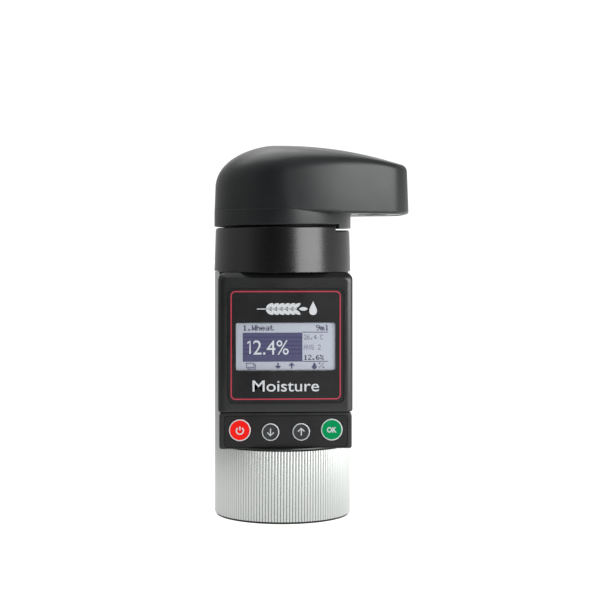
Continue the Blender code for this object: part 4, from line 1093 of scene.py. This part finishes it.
class BuildScreen(bpy.types.Operator):
    """Build the screen, its dots and figures, and the clear lens over it"""
    bl_idname = "meter.build_screen"
    bl_label = "Build screen"

    def execute(self, context):
        given = context.scene.meter_screen
        front = SCREEN_LOW[1]
        glass = self.glass_material(given)
        edge = 0.25 * MM
        rings = [frame_ring(SCREEN_LOW, SCREEN_HIGH, inset, 0.4 * MM, y)
                 for inset, y in ((0, SCREEN_HIGH[1]), (0, front + edge), (edge, front))]
        add_piece(rings_to_mesh("screen_glass", rings), "housing", glass, ("lcd_screen",))
        dark = self.segment_material("screen_ink", hex_of(given.ink))
        pale = self.segment_material("screen_clear", "c2c6cc")
        self.build_dots(given, front, dark)
        self.build_field(front, dark)
        height = READING_HEIGHT
        flag = [(-0.9 * MM, height - 1.5 * MM), (0.5 * MM, height - 0.45 * MM), (0.5 * MM, 0.45 * MM)]
        one = stroke_mesh("one", [flag], 0.9 * MM, 0.1 * MM)
        add_piece(to_panel(one, -19.6 * MM, front - 0.1 * MM, READING_BASE), "housing", pale)
        figure = text_mesh("big_reading", given.reading, height, 19.0 * MM, 0.1 * MM)
        add_piece(to_panel(figure, -7.9 * MM, front - 0.1 * MM, READING_BASE), "housing", pale)
        low, high = WINDOW_LOW, WINDOW_HIGH
        soft = 0.12 * MM
        rings = [frame_ring(low, high, inset, LENS_CORNER, y)
                 for inset, y in ((0, high[1]), (0, low[1] + soft), (soft, low[1]))]
        add_piece(rings_to_mesh("screen_lens", rings), "housing", clear_lens(),
                  ("display_window",))
        return {'FINISHED'}

    def build_field(self, front, dark):
        """The dark field behind the large reading, with darker bands across it."""
        low = (FIELD_LOW[0], front - 0.05 * MM, FIELD_LOW[1])
        high = (FIELD_HIGH[0], front + 0.1 * MM, FIELD_HIGH[1])
        add_piece(retitled(block_mesh(low, high), "dark_field"), "housing", dark)
        band = self.segment_material("screen_band", "34325a")
        bands = [block_mesh((-22.9 * MM, front - 0.06 * MM, z - 0.35 * MM), (8.9 * MM, front, z + 0.35 * MM))
                 for z in BAND_HEIGHTS]
        add_piece(joined_mesh("field_bands", bands), "housing", band)

    def glass_material(self, given):
        """Bright reflective screen: painted light makes it glow a little, brighter to the right where the key
        light falls, and its grid of dots is too fine to draw, so that a coarser mottle stands for it."""
        material = surface("bright_screen", hex_of(given.glass), 0.5, grain=0.8 * MM, shade=0.02,
                           rough_shade=0.02, relief=0.001 * MM)
        tree = material.node_tree
        shader = tree.nodes["Principled BSDF"]
        where = add_node(tree, "ShaderNodeTexCoord").outputs["Object"]
        place = add_node(tree, "ShaderNodeSeparateXYZ", where)
        # painted light: emission rising from none at the screen's left edge to 0.18 at its right edge
        glow = add_node(tree, "ShaderNodeMapRange", place.outputs[0], SCREEN_LOW[0], SCREEN_HIGH[0],
                        0.0, 0.18)
        shader.inputs["Emission Color"].default_value = linear(hex_of(given.glass))
        tree.links.new(glow.outputs[0], shader.inputs["Emission Strength"])
        return material

    def segment_material(self, name, colour):
        """Liquid-crystal dots: flat colour with a faint glow, painted light that stands in for the light
        falling on them.
        """
        material = surface(name, colour, 0.5, grain=0.8 * MM, shade=0.03, rough_shade=0.02,
                           relief=0.001 * MM)
        shader = material.node_tree.nodes["Principled BSDF"]
        # painted light: a faint even glow in the dots' own colour
        shader.inputs["Emission Color"].default_value = linear(colour)
        shader.inputs["Emission Strength"].default_value = 0.1
        return material

    def build_dots(self, given, front, dark):
        """Small characters, icons and lines as square dots in three weights."""
        step = given.dot
        places = text_dots("1.Wheat", -22.7 * MM, 102.6 * MM, step, 1.05 * step, bold=True)
        places += text_dots("9ml", 16.4 * MM, 102.6 * MM, step, 1.05 * step, bold=True)
        places += self.icons(step)
        heavy = text_dots("12.6%", 9.9 * MM, 86.85 * MM, 0.9 * step, 0.95 * step, bold=True)
        for z in (101.5, 85.9):
            places += [((9.2 + 0.3 * k) * MM, z * MM) for k in range(46)]
        light = text_dots("26.4 C", 9.9 * MM, 97.7 * MM, 0.74 * step, 0.95 * step)
        light += text_dots("AVG 2", 9.9 * MM, 92.3 * MM, 0.78 * step, 0.95 * step)
        for name, dots, size in (("small_dots", places, step * 0.95), ("bold_dots", heavy, step * 0.9),
                                 ("light_dots", light, step * 0.72)):
            unit = block_mesh((-size / 2, 0, -size / 2), (size / 2, 0.08 * MM, size / 2))
            made = copies_mesh(name, [(x, front - 0.07 * MM, z) for x, z in dots], unit, dark)
            add_piece(made, "housing", dark)

    def icons(self, step):
        """Two overlapping cards, arrows down and up, a drop and a per-cent sign, in dots."""
        arrow = ("...##...", "..####..", ".######.", "########", *["...##..."] * 4)
        pictures = (
            (-21.0, ("###########..", "#.........#..", "#.........###", "#.........#.#", "#.........#.#",
                     "#.........#.#", "###########.#", "..#.........#", "..###########")),
            (-5.5, arrow[::-1]), (1.8, arrow),
            (14.2, ("...#....", "..###...", "..###...", ".#####..", ".#####..", "#######.", "#######.",
                    ".#####..", "..###...")),
            (18.0, ("##....#.", "##...#..", "....#...", "...#....", "..#.....", ".#...##.", "#....##.")),
        )
        places = []
        for left, rows in pictures:
            for down, row in enumerate(rows):
                for k, mark in enumerate(row):
                    if mark == "#":
                        places.append((left * MM + k * step, 85.0 * MM - down * step))
        return places


# ---------------------------------------------------------------- collar, cup and lid

RIM_STEP = radians(-42.4)
LID_STEP = radians(-39.2)
STEP_ANGLE = radians(0.3)
RIM_TOP = 158.4 * MM
RIM_RADIUS = 37.0 * MM
COLLAR_BOTTOM = 134.0 * MM
COLLAR_FLOOR = 26.7 * MM        # radius of the hole in the collar's floor
THREAD_LOW, THREAD_HIGH = 149.0 * MM, 154.9 * MM
THREAD_ROWS = 28
RING_STEPS = 288
BORE = 30.2 * MM
NECK = 29.1 * MM
SKIRT_BOTTOM_INNER = 36.05 * MM
CUP_SCREWS = [on_circle(28.6 * MM, radians(30 + 60 * k)) for k in range(3)]
BURR_SCREWS = [on_circle(17 * MM, radians(90 + 120 * k)) for k in range(3)]
LID_SCREWS = [on_circle(32.6 * MM, (k + 1) * pi / 2) for k in range(3)]
PLATE_SCREWS = ((50 * MM, -13 * MM), (50 * MM, 13 * MM))


def thread(angle, z, lead):
    """How far the thread fills at a place: 1 on the crest, 0 in the groove."""
    share = (z / lead - angle / (2 * pi)) % 1.0
    return min(max((abs(2 * share - 1) - 0.25) / 0.5, 0.0), 1.0)


def ramp_angles(step_angle, count):
    """Angles once round from just after a step to just before it."""
    return [step_angle + STEP_ANGLE / 2 + (2 * pi - STEP_ANGLE) * k / (count - 1) for k in range(count)]


def swept_ring(name, angles, section):
    """A ring whose cross-section of (radius, z) may change with the angle."""
    shape = bmesh.new()
    rings = []
    for k, angle in enumerate(angles):
        rings.append([shape.verts.new((*on_circle(radius, angle), z))
                      for radius, z in section(angle, k / (len(angles) - 1))])
    bridge(shape, rings, joined=True)
    return closed_mesh(name, shape)


class BuildCollar(bpy.types.Operator):
    """Build the sample collar with its helical rim and thread, and what sits inside it"""
    bl_idname = "meter.build_collar"
    bl_label = "Build collar and cup"

    def execute(self, context):
        given = context.scene.meter_collar
        groove = BORE + 0.55 * MM
        foot_radius, foot_edge = COLLAR_HIGH[0], 0.15 * MM
        taper = (RIM_RADIUS - foot_radius) / (RIM_TOP - COLLAR_BOTTOM)

        def cone(z):
            return foot_radius + taper * (z - COLLAR_BOTTOM)

        def section(angle, share):
            top = RIM_TOP - given.lead + given.lead * share
            soft = 1.1 * MM
            low = COLLAR_BOTTOM - 0.45 * MM * smoothstep((-0.36 - sin(angle)) / 0.02)
            points = [(COLLAR_FLOOR, low), (foot_radius - foot_edge, low), (foot_radius, low + foot_edge)]
            for z in (COLLAR_BOTTOM + rise for rise in (0.3 * MM, 0.8 * MM, 20.9 * MM)):
                points.append((cone(z), z))
            points += arc(cone(top - soft) - soft, top - soft, soft, 0, 90, 9)
            points += [(BORE + 0.9 * MM, top), (groove, top - 0.1 * MM), (groove, THREAD_HIGH)]
            for k in range(THREAD_ROWS + 1):
                z = THREAD_HIGH + (THREAD_LOW - THREAD_HIGH) * k / THREAD_ROWS
                points.append((BORE + given.thread_depth * (1 - thread(angle, z, given.lead)), z))
            points += [(groove, THREAD_LOW - 0.05 * MM), (BORE + 0.1 * MM, 147.5 * MM), (BORE, 136 * MM),
                       (COLLAR_FLOOR, 136 * MM)]
            return points

        collar = swept_ring("sample_collar", ramp_angles(RIM_STEP, RING_STEPS + 1), section)
        spigot_section = [(r, z) for r, z in ((31.5 * MM, 130 * MM), (SPIGOT_RADIUS, 130 * MM),
                                              (SPIGOT_RADIUS, 134.01 * MM), (31.5 * MM, 134.01 * MM))]
        spigot = rings_to_mesh("spigot", [[(*on_circle(r, radians(2 * k - 18)), z) for r, z in spigot_section]
                                          for k in range(109)])
        holes = [round_tool(x, y, 1.3 * MM, 133 * MM, 137 * MM, 24) for x, y in CUP_SCREWS]
        collar = cut_mesh(collar, *holes)
        add_piece(joined_mesh("sample_collar", [collar, spigot]), "housing", collar_abs(),
                  ("collar",), sharp=32)
        self.build_cup()
        return {'FINISHED'}

    def build_cup(self):
        """The turned cup, the acetal insulator and the steel electrode, each with its turned edges broken."""
        soft = 0.25 * MM
        cup = [(6.3 * MM, 127 * MM), (26.4 * MM - soft, 127 * MM), (26.4 * MM, 127 * MM + soft),
               (26.4 * MM, 136.5 * MM), (29.9 * MM - soft, 136.5 * MM), (29.9 * MM, 136.5 * MM + soft),
               (29.9 * MM, 145.3 * MM - soft), (29.9 * MM - soft, 145.3 * MM),
               (24.4 * MM + 0.8 * MM, 145.3 * MM), (24.4 * MM, 144.5 * MM), (24.4 * MM, 133.4 * MM),
               (24.28 * MM, 133.1 * MM), (24.0 * MM, 133 * MM), (6.3 * MM + soft, 133 * MM),
               (6.3 * MM, 133 * MM - soft)]
        made = turned_mesh("sample_cup", cup, 144)
        holes = [round_tool(x, y, 1.3 * MM, 135 * MM, 142 * MM, 24) for x, y in CUP_SCREWS]
        add_piece(cut_mesh(made, *holes), "housing", turned_aluminium(), ("grain_cup",))
        ring = [(3.8 * MM, 123 * MM), (6.0 * MM - soft, 123 * MM), (6.0 * MM, 123 * MM + soft),
                (6.0 * MM, 133.3 * MM), (7.8 * MM, 133.3 * MM), (7.8 * MM, 136.0 * MM - soft),
                (7.8 * MM - soft, 136.0 * MM), (3.8 * MM, 136.0 * MM)]
        add_piece(turned_mesh("insulating_bush", ring, 96), "housing", hidden_finish("acetal"),
                  ("electrode_insulator",))
        pin = [(0, 116 * MM), (1.4 * MM, 116 * MM), (1.5 * MM, 116.1 * MM), (1.5 * MM, 123.5 * MM),
               (3.5 * MM, 123.5 * MM), (3.5 * MM, 136.2 * MM), (3.32 * MM, 136.58 * MM),
               (2.9 * MM, 136.8 * MM), (1.2 * MM, 136.8 * MM), (0, 136.3 * MM)]
        add_piece(turned_mesh("electrode_pin", pin, 96), "housing", ground_steel(),
                  ("centre_electrode",))


DOME_STEPS = 44
SHOULDER_POWER = 0.943          # 1 makes the shoulder an ellipse, less makes it fuller
SIDE_ANGLE = radians(24.6)
DRAFT = 0.035                   # how fast the walls lean inwards as they rise
LEVER_BOTTOM = 165 * MM
DOME_BOTTOM = LEVER_BOTTOM + 2.45 * MM
BLEND_SHARE = 0.78              # how far round to the lever's end the dome's shape has faded out
LEVER_REACH, DOME_REACH = 5.8 * MM, 37.85 * MM
LEVER_DROP, DOME_DROP = 5.0 * MM, 23.7 * MM
LID_WALL = 2.4 * MM
SMALL_EDGE = 0.12 * MM


def lid_outline(given, side_steps=34, corner_steps=18):
    """The lid's plan as (x, y, outward angle, share) from the back of the dome to the end of one corner."""
    dome = SKIRT_HIGH[0]
    side_end = 1.5 * pi + SIDE_ANGLE
    corner_x, corner_y = on_circle(given.side_radius - given.corner_radius, side_end)
    offset = given.side_radius - dome
    stretches = ((0, 0, dome, pi, 1.5 * pi, DOME_STEPS),
                 (0, offset, given.side_radius, 1.5 * pi, side_end, side_steps),
                 (corner_x, corner_y + offset, given.corner_radius, side_end, 2 * pi, corner_steps))
    points = []
    for centre_x, centre_y, radius, start, end, steps in stretches:
        for k in range(1 if points else 0, steps + 1):
            angle = start + (end - start) * k / steps
            points.append((centre_x + radius * cos(angle), centre_y + radius * sin(angle), angle))
    lengths = [0.0]
    for a, b in zip(points, points[1:]):
        lengths.append(lengths[-1] + hypot(b[0] - a[0], b[1] - a[1]))
    whole = lengths[-1] - points[-1][1]
    return [(*point, length / whole) for point, length in zip(points, lengths)]


def lid_crown(given, x, y):
    """Height of the lid's top: level along the dome, falling to the lever's end and to both sides."""
    along = given.crown_radius - sqrt(given.crown_radius ** 2 - max(x, 0.0) ** 2)
    return LID_HIGH[2] - along - y * y / (2 * given.cross_radius)


def lid_column(given, x, y, angle, share, wall, steps):
    """One line up the lid: rounded lower edge, drafted wall, and a shoulder that runs into the crown."""
    low = DOME_BOTTOM - (DOME_BOTTOM - LEVER_BOTTOM) * min(max((x + 2 * MM) / (32 * MM), 0.0), 1.0)
    blend = 0.5 + 0.5 * cos(pi * min(share / BLEND_SHARE, 1.0))
    reach = LEVER_REACH + (DOME_REACH - LEVER_REACH) * blend
    drop = LEVER_DROP + (DOME_DROP - LEVER_DROP) * blend ** 0.7
    top_x, top_y = x - reach * cos(angle), y - reach * sin(angle)
    slope = max(top_x, 0.0) / given.crown_radius * cos(angle) + top_y / given.cross_radius * sin(angle)
    top = lid_crown(given, top_x, top_y) - wall
    wall_top = top + wall - drop
    inset = DRAFT * (low - LEVER_BOTTOM)
    places = []
    if wall:
        places.append((wall + inset, low))
    else:
        soft = SMALL_EDGE + (given.edge - SMALL_EDGE) * smoothstep(x / (26 * MM))
        for turn in [radians(90 - 18 * k) for k in range(6)]:
            places.append((soft * (1 - cos(turn)) + inset, low + soft * (1 - sin(turn))))
    start = wall + DRAFT * (wall_top - LEVER_BOTTOM)
    for k in range(steps + 1):
        turn = pi / 2 * k / steps
        inward = 1 - max(cos(turn), 0.0) ** SHOULDER_POWER
        lean = slope * (reach - start) * inward ** 2 * (inward - 1)
        places.append((start + (reach - start) * inward,
                       wall_top + (top - wall_top) * sin(turn) ** SHOULDER_POWER + lean))
    return [(x - inset * cos(angle), y - inset * sin(angle), z) for inset, z in places]


def crown_line(shape, given, one, two, steps, wall):
    """Vertices from one to another, with new ones between them on the crown."""
    places = [one.co.lerp(two.co, k / steps) for k in range(1, steps)]
    return [one, *(shape.verts.new((x, y, lid_crown(given, x, y) - wall)) for x, y, _ in places), two]


def fill_crown(shape, given, tops, half_count, across, wall):
    """Close a skin's top: spokes from the pole over the dome, then rows from front to back."""
    pole = tops[0]
    halves = []
    for side in (1, -1):
        spoke = [tops[side], pole]
        for i in range(2, DOME_STEPS + 1):
            following = crown_line(shape, given, tops[side * i], pole, across // 2, wall)
            for k in range(across // 2):
                near = spoke[k:k + 2] if len(spoke) > 2 else spoke[:1]
                corners = [following[k + 1], following[k], *near]
                shape.faces.new(corners[1:] if corners[0] is near[-1] else corners)
            spoke = following
        halves.append(spoke)
    rows = [halves[0] + halves[1][-2::-1]]
    rows += [crown_line(shape, given, tops[i], tops[-i], across, wall)
             for i in range(DOME_STEPS + 1, half_count - 1)]
    rows.append(tops[half_count - 1:half_count + across])
    for one, two in zip(rows, rows[1:]):
        for k in range(across):
            shape.faces.new((two[k], two[k + 1], one[k + 1], one[k]))


def lid_skin(shape, given, wall, steps, across=28):
    """One skin of the lid; gives the vertices of its lower edge."""
    half = lid_outline(given)
    end_x, end_y = half[-1][:2]
    ends = [(end_x, end_y * (1 - 2 * k / across), 2 * pi, 1.0) for k in range(1, across)]
    back = [(x, -y, -angle, share) for x, y, angle, share in reversed(half[1:])]
    columns = [[shape.verts.new(place) for place in lid_column(given, *station, wall, steps)]
               for station in half + ends + back]
    bridge(shape, columns, closed=False, joined=True)
    fill_crown(shape, given, [column[-1] for column in columns], len(half), across, wall)
    return [column[0] for column in columns]


class BuildLid(bpy.types.Operator):
    """Build the screw-down lid: shell, skirt ring, threaded neck, washer, underplate and screws"""
    bl_idname = "meter.build_lid"
    bl_label = "Build lid"

    def execute(self, context):
        given = context.scene.meter_lid
        collar = context.scene.meter_collar
        self.build_shell(given)
        self.build_skirt(collar)
        self.build_neck(collar)
        self.build_underplate(given)
        self.build_washer()
        return {'FINISHED'}

    def build_washer(self):
        """A flat acetal washer with its edges broken."""
        inner, outer, low, high, soft = 30.1 * MM, 35.6 * MM, 161.2 * MM, 162.6 * MM, 0.1 * MM
        section = [(inner, low + soft), (inner + soft, low), (outer - soft, low), (outer, low + soft),
                   (outer, high - soft), (outer - soft, high), (inner + soft, high), (inner, high - soft)]
        washer = turned_mesh("slip_washer", section, 160)
        add_piece(washer, "thrust_washer", hidden_finish("acetal"), ("thrust_washer",))

    def build_shell(self, given):
        """The moulded dome and lever, hollow below, with bosses for its screws."""
        shape = bmesh.new()
        outer = lid_skin(shape, given, 0.0, 18)
        inner = lid_skin(shape, given, LID_WALL, 10)
        for i in range(len(outer)):
            j = (i + 1) % len(outer)
            shape.faces.new((outer[i], outer[j], inner[j], inner[i]))
        shell = closed_mesh("lid_shell", shape)
        clear = SKIRT_HIGH[0] + 0.3 * MM
        shell = cut_mesh(shell, round_tool(0, 0, clear, 160 * MM, SKIRT_HIGH[2] + 0.02 * MM, 180))
        bore, radius = 1.4 * MM, 3 * MM
        bosses = [sleeve_mesh("boss", bore, radius, 170.3 * MM, 182 * MM, 24, place) for place in LID_SCREWS]
        bosses += [sleeve_mesh("boss", bore, radius, 168 * MM, 195 * MM, 24, place) for place in PLATE_SCREWS]
        add_piece(joined_mesh("lid_shell", [shell, *bosses]), "crank_lid", eroded_nylon(),
                  ("crank_lid_shell",), sharp=38)

    def build_skirt(self, given):
        """The skirt ring, its lower edge a helix with a tab where the helix starts again."""
        outer, top = SKIRT_HIGH[0], SKIRT_HIGH[2]
        inner, bore = SKIRT_BOTTOM_INNER, 30.1 * MM
        web = 164.9 * MM

        def section(angle, share):
            low = RIM_TOP - given.lead + given.gap + given.lead * share
            soft = 0.45 * MM
            edge = arc(outer - soft, low + soft, soft, -90, 0, 6)
            return [(inner, low + 0.2 * MM), (inner + 0.2 * MM, low), *edge, (outer, top - 0.15 * MM),
                    (outer - 0.15 * MM, top), (bore, top), (bore, web), (inner, web)]

        ring = swept_ring("skirt_ring", ramp_angles(LID_STEP, RING_STEPS + 1), section)
        holes = [round_tool(x, y, 1.4 * MM, 160 * MM, 168 * MM, 24) for x, y in LID_SCREWS]
        add_piece(cut_mesh(ring, *holes), "crank_lid", eroded_nylon(), ("lid_skirt_ring",),
                  sharp=32)

    def build_neck(self, given):
        """The neck's thread has the collar's lead, and runs in its grooves."""
        rows = 46
        low, high = 147.2 * MM, 157.3 * MM

        def section(angle, share):
            points = [(10.2 * MM, NECK_LOW[2]), (NECK - 0.5 * MM, NECK_LOW[2]), (NECK, 146.8 * MM)]
            for k in range(rows + 1):
                z = low + (high - low) * k / rows
                fade = min(1.0, (z - low) / MM, (high - z) / MM)
                points.append((NECK + given.thread_depth * fade * (1 - thread(angle, z, given.lead)), z))
            return points + [(NECK, 157.6 * MM), (29.7 * MM, 157.9 * MM), (29.7 * MM, 167.7 * MM),
                             (34.9 * MM, 167.7 * MM), (34.9 * MM, 170 * MM), (26.7 * MM, 170 * MM),
                             (26.7 * MM, 149.3 * MM), (10 * MM, 149.3 * MM), (10 * MM, 146.5 * MM)]

        angles = [2 * pi * k / RING_STEPS for k in range(RING_STEPS)]
        neck = swept_ring("lid_neck", angles, section)
        holes = [round_tool(x, y, 1.3 * MM, 145 * MM, 151 * MM, 24) for x, y in BURR_SCREWS]
        holes += [round_tool(x, y, 1.4 * MM, 166 * MM, 171 * MM, 24) for x, y in LID_SCREWS]
        add_piece(cut_mesh(neck, *holes), "crank_lid", neck_nylon(), ("threaded_neck",),
                  sharp=40)

    def build_underplate(self, given):
        """A plate that closes the lever from below, with a plain label recess, and the lid's screws."""
        inset = 2.9 * MM
        start_x = 24 * MM
        side = [(x - inset * cos(angle), y - inset * sin(angle)) for x, y, angle, _ in lid_outline(given)
                if x > start_x]
        ring = SKIRT_HIGH[0] + 0.6 * MM
        start_angle = atan2(sqrt(ring ** 2 - start_x ** 2), start_x)
        inner = [on_circle(ring, start_angle * (1 - k / 24)) for k in range(49)]
        outline = side + [(x, -y) for x, y in reversed(side)] + inner
        levels = (165.3 * MM, 167.7 * MM)
        plate = rings_to_mesh("lever_plate", [[(x, y, z) for x, y in outline] for z in levels])
        below = 164 * MM
        tools = [round_tool(x, y, 2.6 * MM, below, 166.8 * MM) for x, y in PLATE_SCREWS]
        tools += [round_tool(x, y, 1.4 * MM, below, 169 * MM) for x, y in PLATE_SCREWS]
        tools.append(block_mesh((42 * MM, -6 * MM, below), (58 * MM, 6 * MM, 165.9 * MM)))
        plate = bevelled(cut_mesh(plate, *tools), 0.2 * MM)
        add_piece(plate, "crank_lid", eroded_nylon(), ("lever_underplate",))
        add_screws("plate_screws", "crank_lid", PLATE_SCREWS, 166.5 * MM, (2.15 * MM, 0.95 * MM),
                   (1.1 * MM, 180 * MM), 7, ("underplate_screw_1", "underplate_screw_2"))
        add_screws("lid_screws", "crank_lid", LID_SCREWS, 164.6 * MM, (2.15 * MM, 1.55 * MM),
                   (1.1 * MM, 178 * MM), 9, tuple(f"lid_screw_{k + 1}" for k in range(3)))


# ---------------------------------------------------------------- pieces kept from the frame

KEPT_FINISHES = (
    (("battery",), "battery_jacket"), (("sleeve",), "nitrile_rubber"), (("connector",), "black_abs"),
    (("lead",), "wire_jacket"), (("backlight",), "white_diffuser"), (("board",), "circuit_board"),
    (("switch",), "switch_body"), (("nut", "sensor"), "brass"),
)


class FinishInside(bpy.types.Operator):
    """Give the pieces that keep their frame shapes their finishes"""
    bl_idname = "meter.finish_inside"
    bl_label = "Finish the inner pieces"

    def execute(self, context):
        for name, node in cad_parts.items():
            if node.hide_render:
                continue
            if "screw" in name:
                made, slot = zinc_steel(), "zinc_screw"
            elif "burr" in name or "pin" in name or name == "centre_electrode":
                made, slot = ground_steel(), "hardened_steel"
            else:
                slot = next((finish for words, finish in KEPT_FINISHES
                             if any(word in name for word in words)), "black_abs")
                made = hidden_finish(slot)
            node.data.materials.clear()
            node.data.materials.append(made)
        return {'FINISHED'}


# ---------------------------------------------------------------- stage

def area_light(name, place, target, size, power):
    """A white rectangular softbox at a place, aimed at a target."""
    data = bpy.data.lights.new(name, 'AREA')
    data.shape = 'RECTANGLE'
    data.size, data.size_y = size
    data.energy = power
    light = bpy.data.objects.new(name, data)
    light.location = place
    light.rotation_euler = (Vector(target) - Vector(place)).to_track_quat('-Z', 'Y').to_euler()
    bpy.context.scene.collection.objects.link(light)


class BuildStage(bpy.types.Operator):
    """Set up the pale floor, the studio lights and the camera"""
    bl_idname = "meter.build_stage"
    bl_label = "Build stage"

    def execute(self, context):
        given = context.scene.meter_stage
        self.build_floor()
        self.build_world(context)
        area_light("key_softbox", (0.73, -0.80, 0.36), (0.0, 0.0, 0.14), (0.92, 0.66), 15.5)
        area_light("top_softbox", (-0.15, 0.25, 1.0), (0.0, 0.0, 0.19), (0.8, 0.9), 7.0)
        self.build_camera(context, given)
        context.scene.view_settings.view_transform = 'Standard'
        return {'FINISHED'}

    def build_floor(self):
        """A plain lit table top that ends between the meter and the camera, as dark lies beyond it.

        It is plain white to the eye, and lights the meter more from the right than from the left.
        """
        level = -0.05 * MM
        corners = [(-20, -0.5, level), (20, -0.5, level), (20, 40, level), (-20, 40, level)]
        mesh = bpy.data.meshes.new("floor")
        mesh.from_pydata(corners, [], [(0, 1, 2, 3)])
        floor = bpy.data.objects.new("floor", mesh)
        bpy.context.scene.collection.objects.link(floor)
        pale = surface("pale_floor", "9a9a9a", 0.9, grain=4 * MM, shade=0.004, rough_shade=0.02, relief=0.0)
        shader = pale.node_tree.nodes["Principled BSDF"]
        shader.inputs["Emission Color"].default_value = linear("ffffff")
        tree = pale.node_tree
        where = add_node(tree, "ShaderNodeTexCoord").outputs["Object"]
        place = add_node(tree, "ShaderNodeSeparateXYZ", where)
        glow = add_node(tree, "ShaderNodeMapRange", place.outputs[0], -0.25, 0.25, 0.15, 1.35)
        seen = add_node(tree, "ShaderNodeLightPath").outputs["Is Camera Ray"]
        bright = add_node(tree, "ShaderNodeMath", glow.outputs[0], seen, operation='MAXIMUM')
        tree.links.new(bright.outputs[0], shader.inputs["Emission Strength"])
        floor.data.materials.append(pale)

    def build_world(self, context):
        """A white room that lights the meter from behind and beside it, and little from the front.

        It is plain white to the eye from every side.
        """
        world = bpy.data.worlds.new("studio")
        world.use_nodes = True
        tree = world.node_tree
        background = tree.nodes["Background"]
        where = add_node(tree, "ShaderNodeTexCoord").outputs["Generated"]
        direction = add_node(tree, "ShaderNodeSeparateXYZ", where)
        walls = add_node(tree, "ShaderNodeMapRange", direction.outputs[1], -0.88, -0.35, 0.06, 1.1)
        above = add_node(tree, "ShaderNodeMapRange", direction.outputs[2], 0.72, 0.92, 1.0, 0.3)
        right = add_node(tree, "ShaderNodeMapRange", direction.outputs[0], 0.25, 0.5, 1.0, 0.55)
        left = add_node(tree, "ShaderNodeMapRange", direction.outputs[0], -0.32, -0.24, 0.55, 1.0)
        sides = add_node(tree, "ShaderNodeMath", left.outputs[0], right.outputs[0], operation='MULTIPLY')
        room = add_node(tree, "ShaderNodeMath", walls.outputs[0], above.outputs[0], operation='MULTIPLY')
        light = add_node(tree, "ShaderNodeMath", room.outputs[0], sides.outputs[0], operation='MULTIPLY')
        seen = add_node(tree, "ShaderNodeLightPath").outputs["Is Camera Ray"]
        light = add_node(tree, "ShaderNodeMath", light.outputs[0], seen, operation='MAXIMUM')
        grey = add_node(tree, "ShaderNodeCombineXYZ", light.outputs[0], light.outputs[0], light.outputs[0])
        tree.links.new(grey.outputs[0], background.inputs["Color"])
        background.inputs["Strength"].default_value = 1.0
        context.scene.world = world

    def build_camera(self, context, given):
        lens = bpy.data.cameras.new("camera")
        lens.sensor_width = 36.0
        lens.lens = 86.4
        lens.shift_x = 0.0292
        lens.shift_y = -0.075
        lens.clip_end = 60
        camera = bpy.data.objects.new("camera", lens)
        turn = given.camera_turn
        camera.location = (-given.camera_distance * sin(turn), -given.camera_distance * cos(turn),
                           given.camera_height)
        camera.rotation_euler = (pi / 2, 0, -turn)
        context.scene.collection.objects.link(camera)
        context.scene.camera = camera


# ---------------------------------------------------------------- add-on

class MoisturePanel(bpy.types.Panel):
    """The builder's buttons and settings in the sidebar"""
    bl_idname = "VIEW3D_PT_moisture_meter"
    bl_label = "Moisture Meter"
    bl_space_type = 'VIEW_3D'
    bl_region_type = 'UI'
    bl_category = "Moisture Meter"

    def draw(self, context):
        for step in STEPS:
            self.layout.operator(step.bl_idname)
        for name, group in SETTINGS.items():
            column = self.layout.box().column()
            column.label(text=name.replace("meter_", "").capitalize())
            for label in group.__annotations__:
                column.prop(getattr(context.scene, name), label)


STEPS = (BuildTube, BuildPanel, BuildScreen, BuildKeys, BuildCollar, BuildLid, FinishInside, BuildStage)


def register():
    for name, group in SETTINGS.items():
        bpy.utils.register_class(group)
        setattr(bpy.types.Scene, name, PointerProperty(type=group))
    for step in (*STEPS, MoisturePanel):
        bpy.utils.register_class(step)


def unregister():
    for step in (*STEPS, MoisturePanel):
        bpy.utils.unregister_class(step)
    for name, group in SETTINGS.items():
        delattr(bpy.types.Scene, name)
        bpy.utils.unregister_class(group)


def main():
    register()
    bpy.ops.meter.build_tube()
    bpy.ops.meter.build_panel()
    bpy.ops.meter.build_screen()
    bpy.ops.meter.build_keys()
    bpy.ops.meter.build_collar()
    bpy.ops.meter.build_lid()
    bpy.ops.meter.finish_inside()
    bpy.ops.meter.build_stage()


if __name__ == "__main__":
    main()
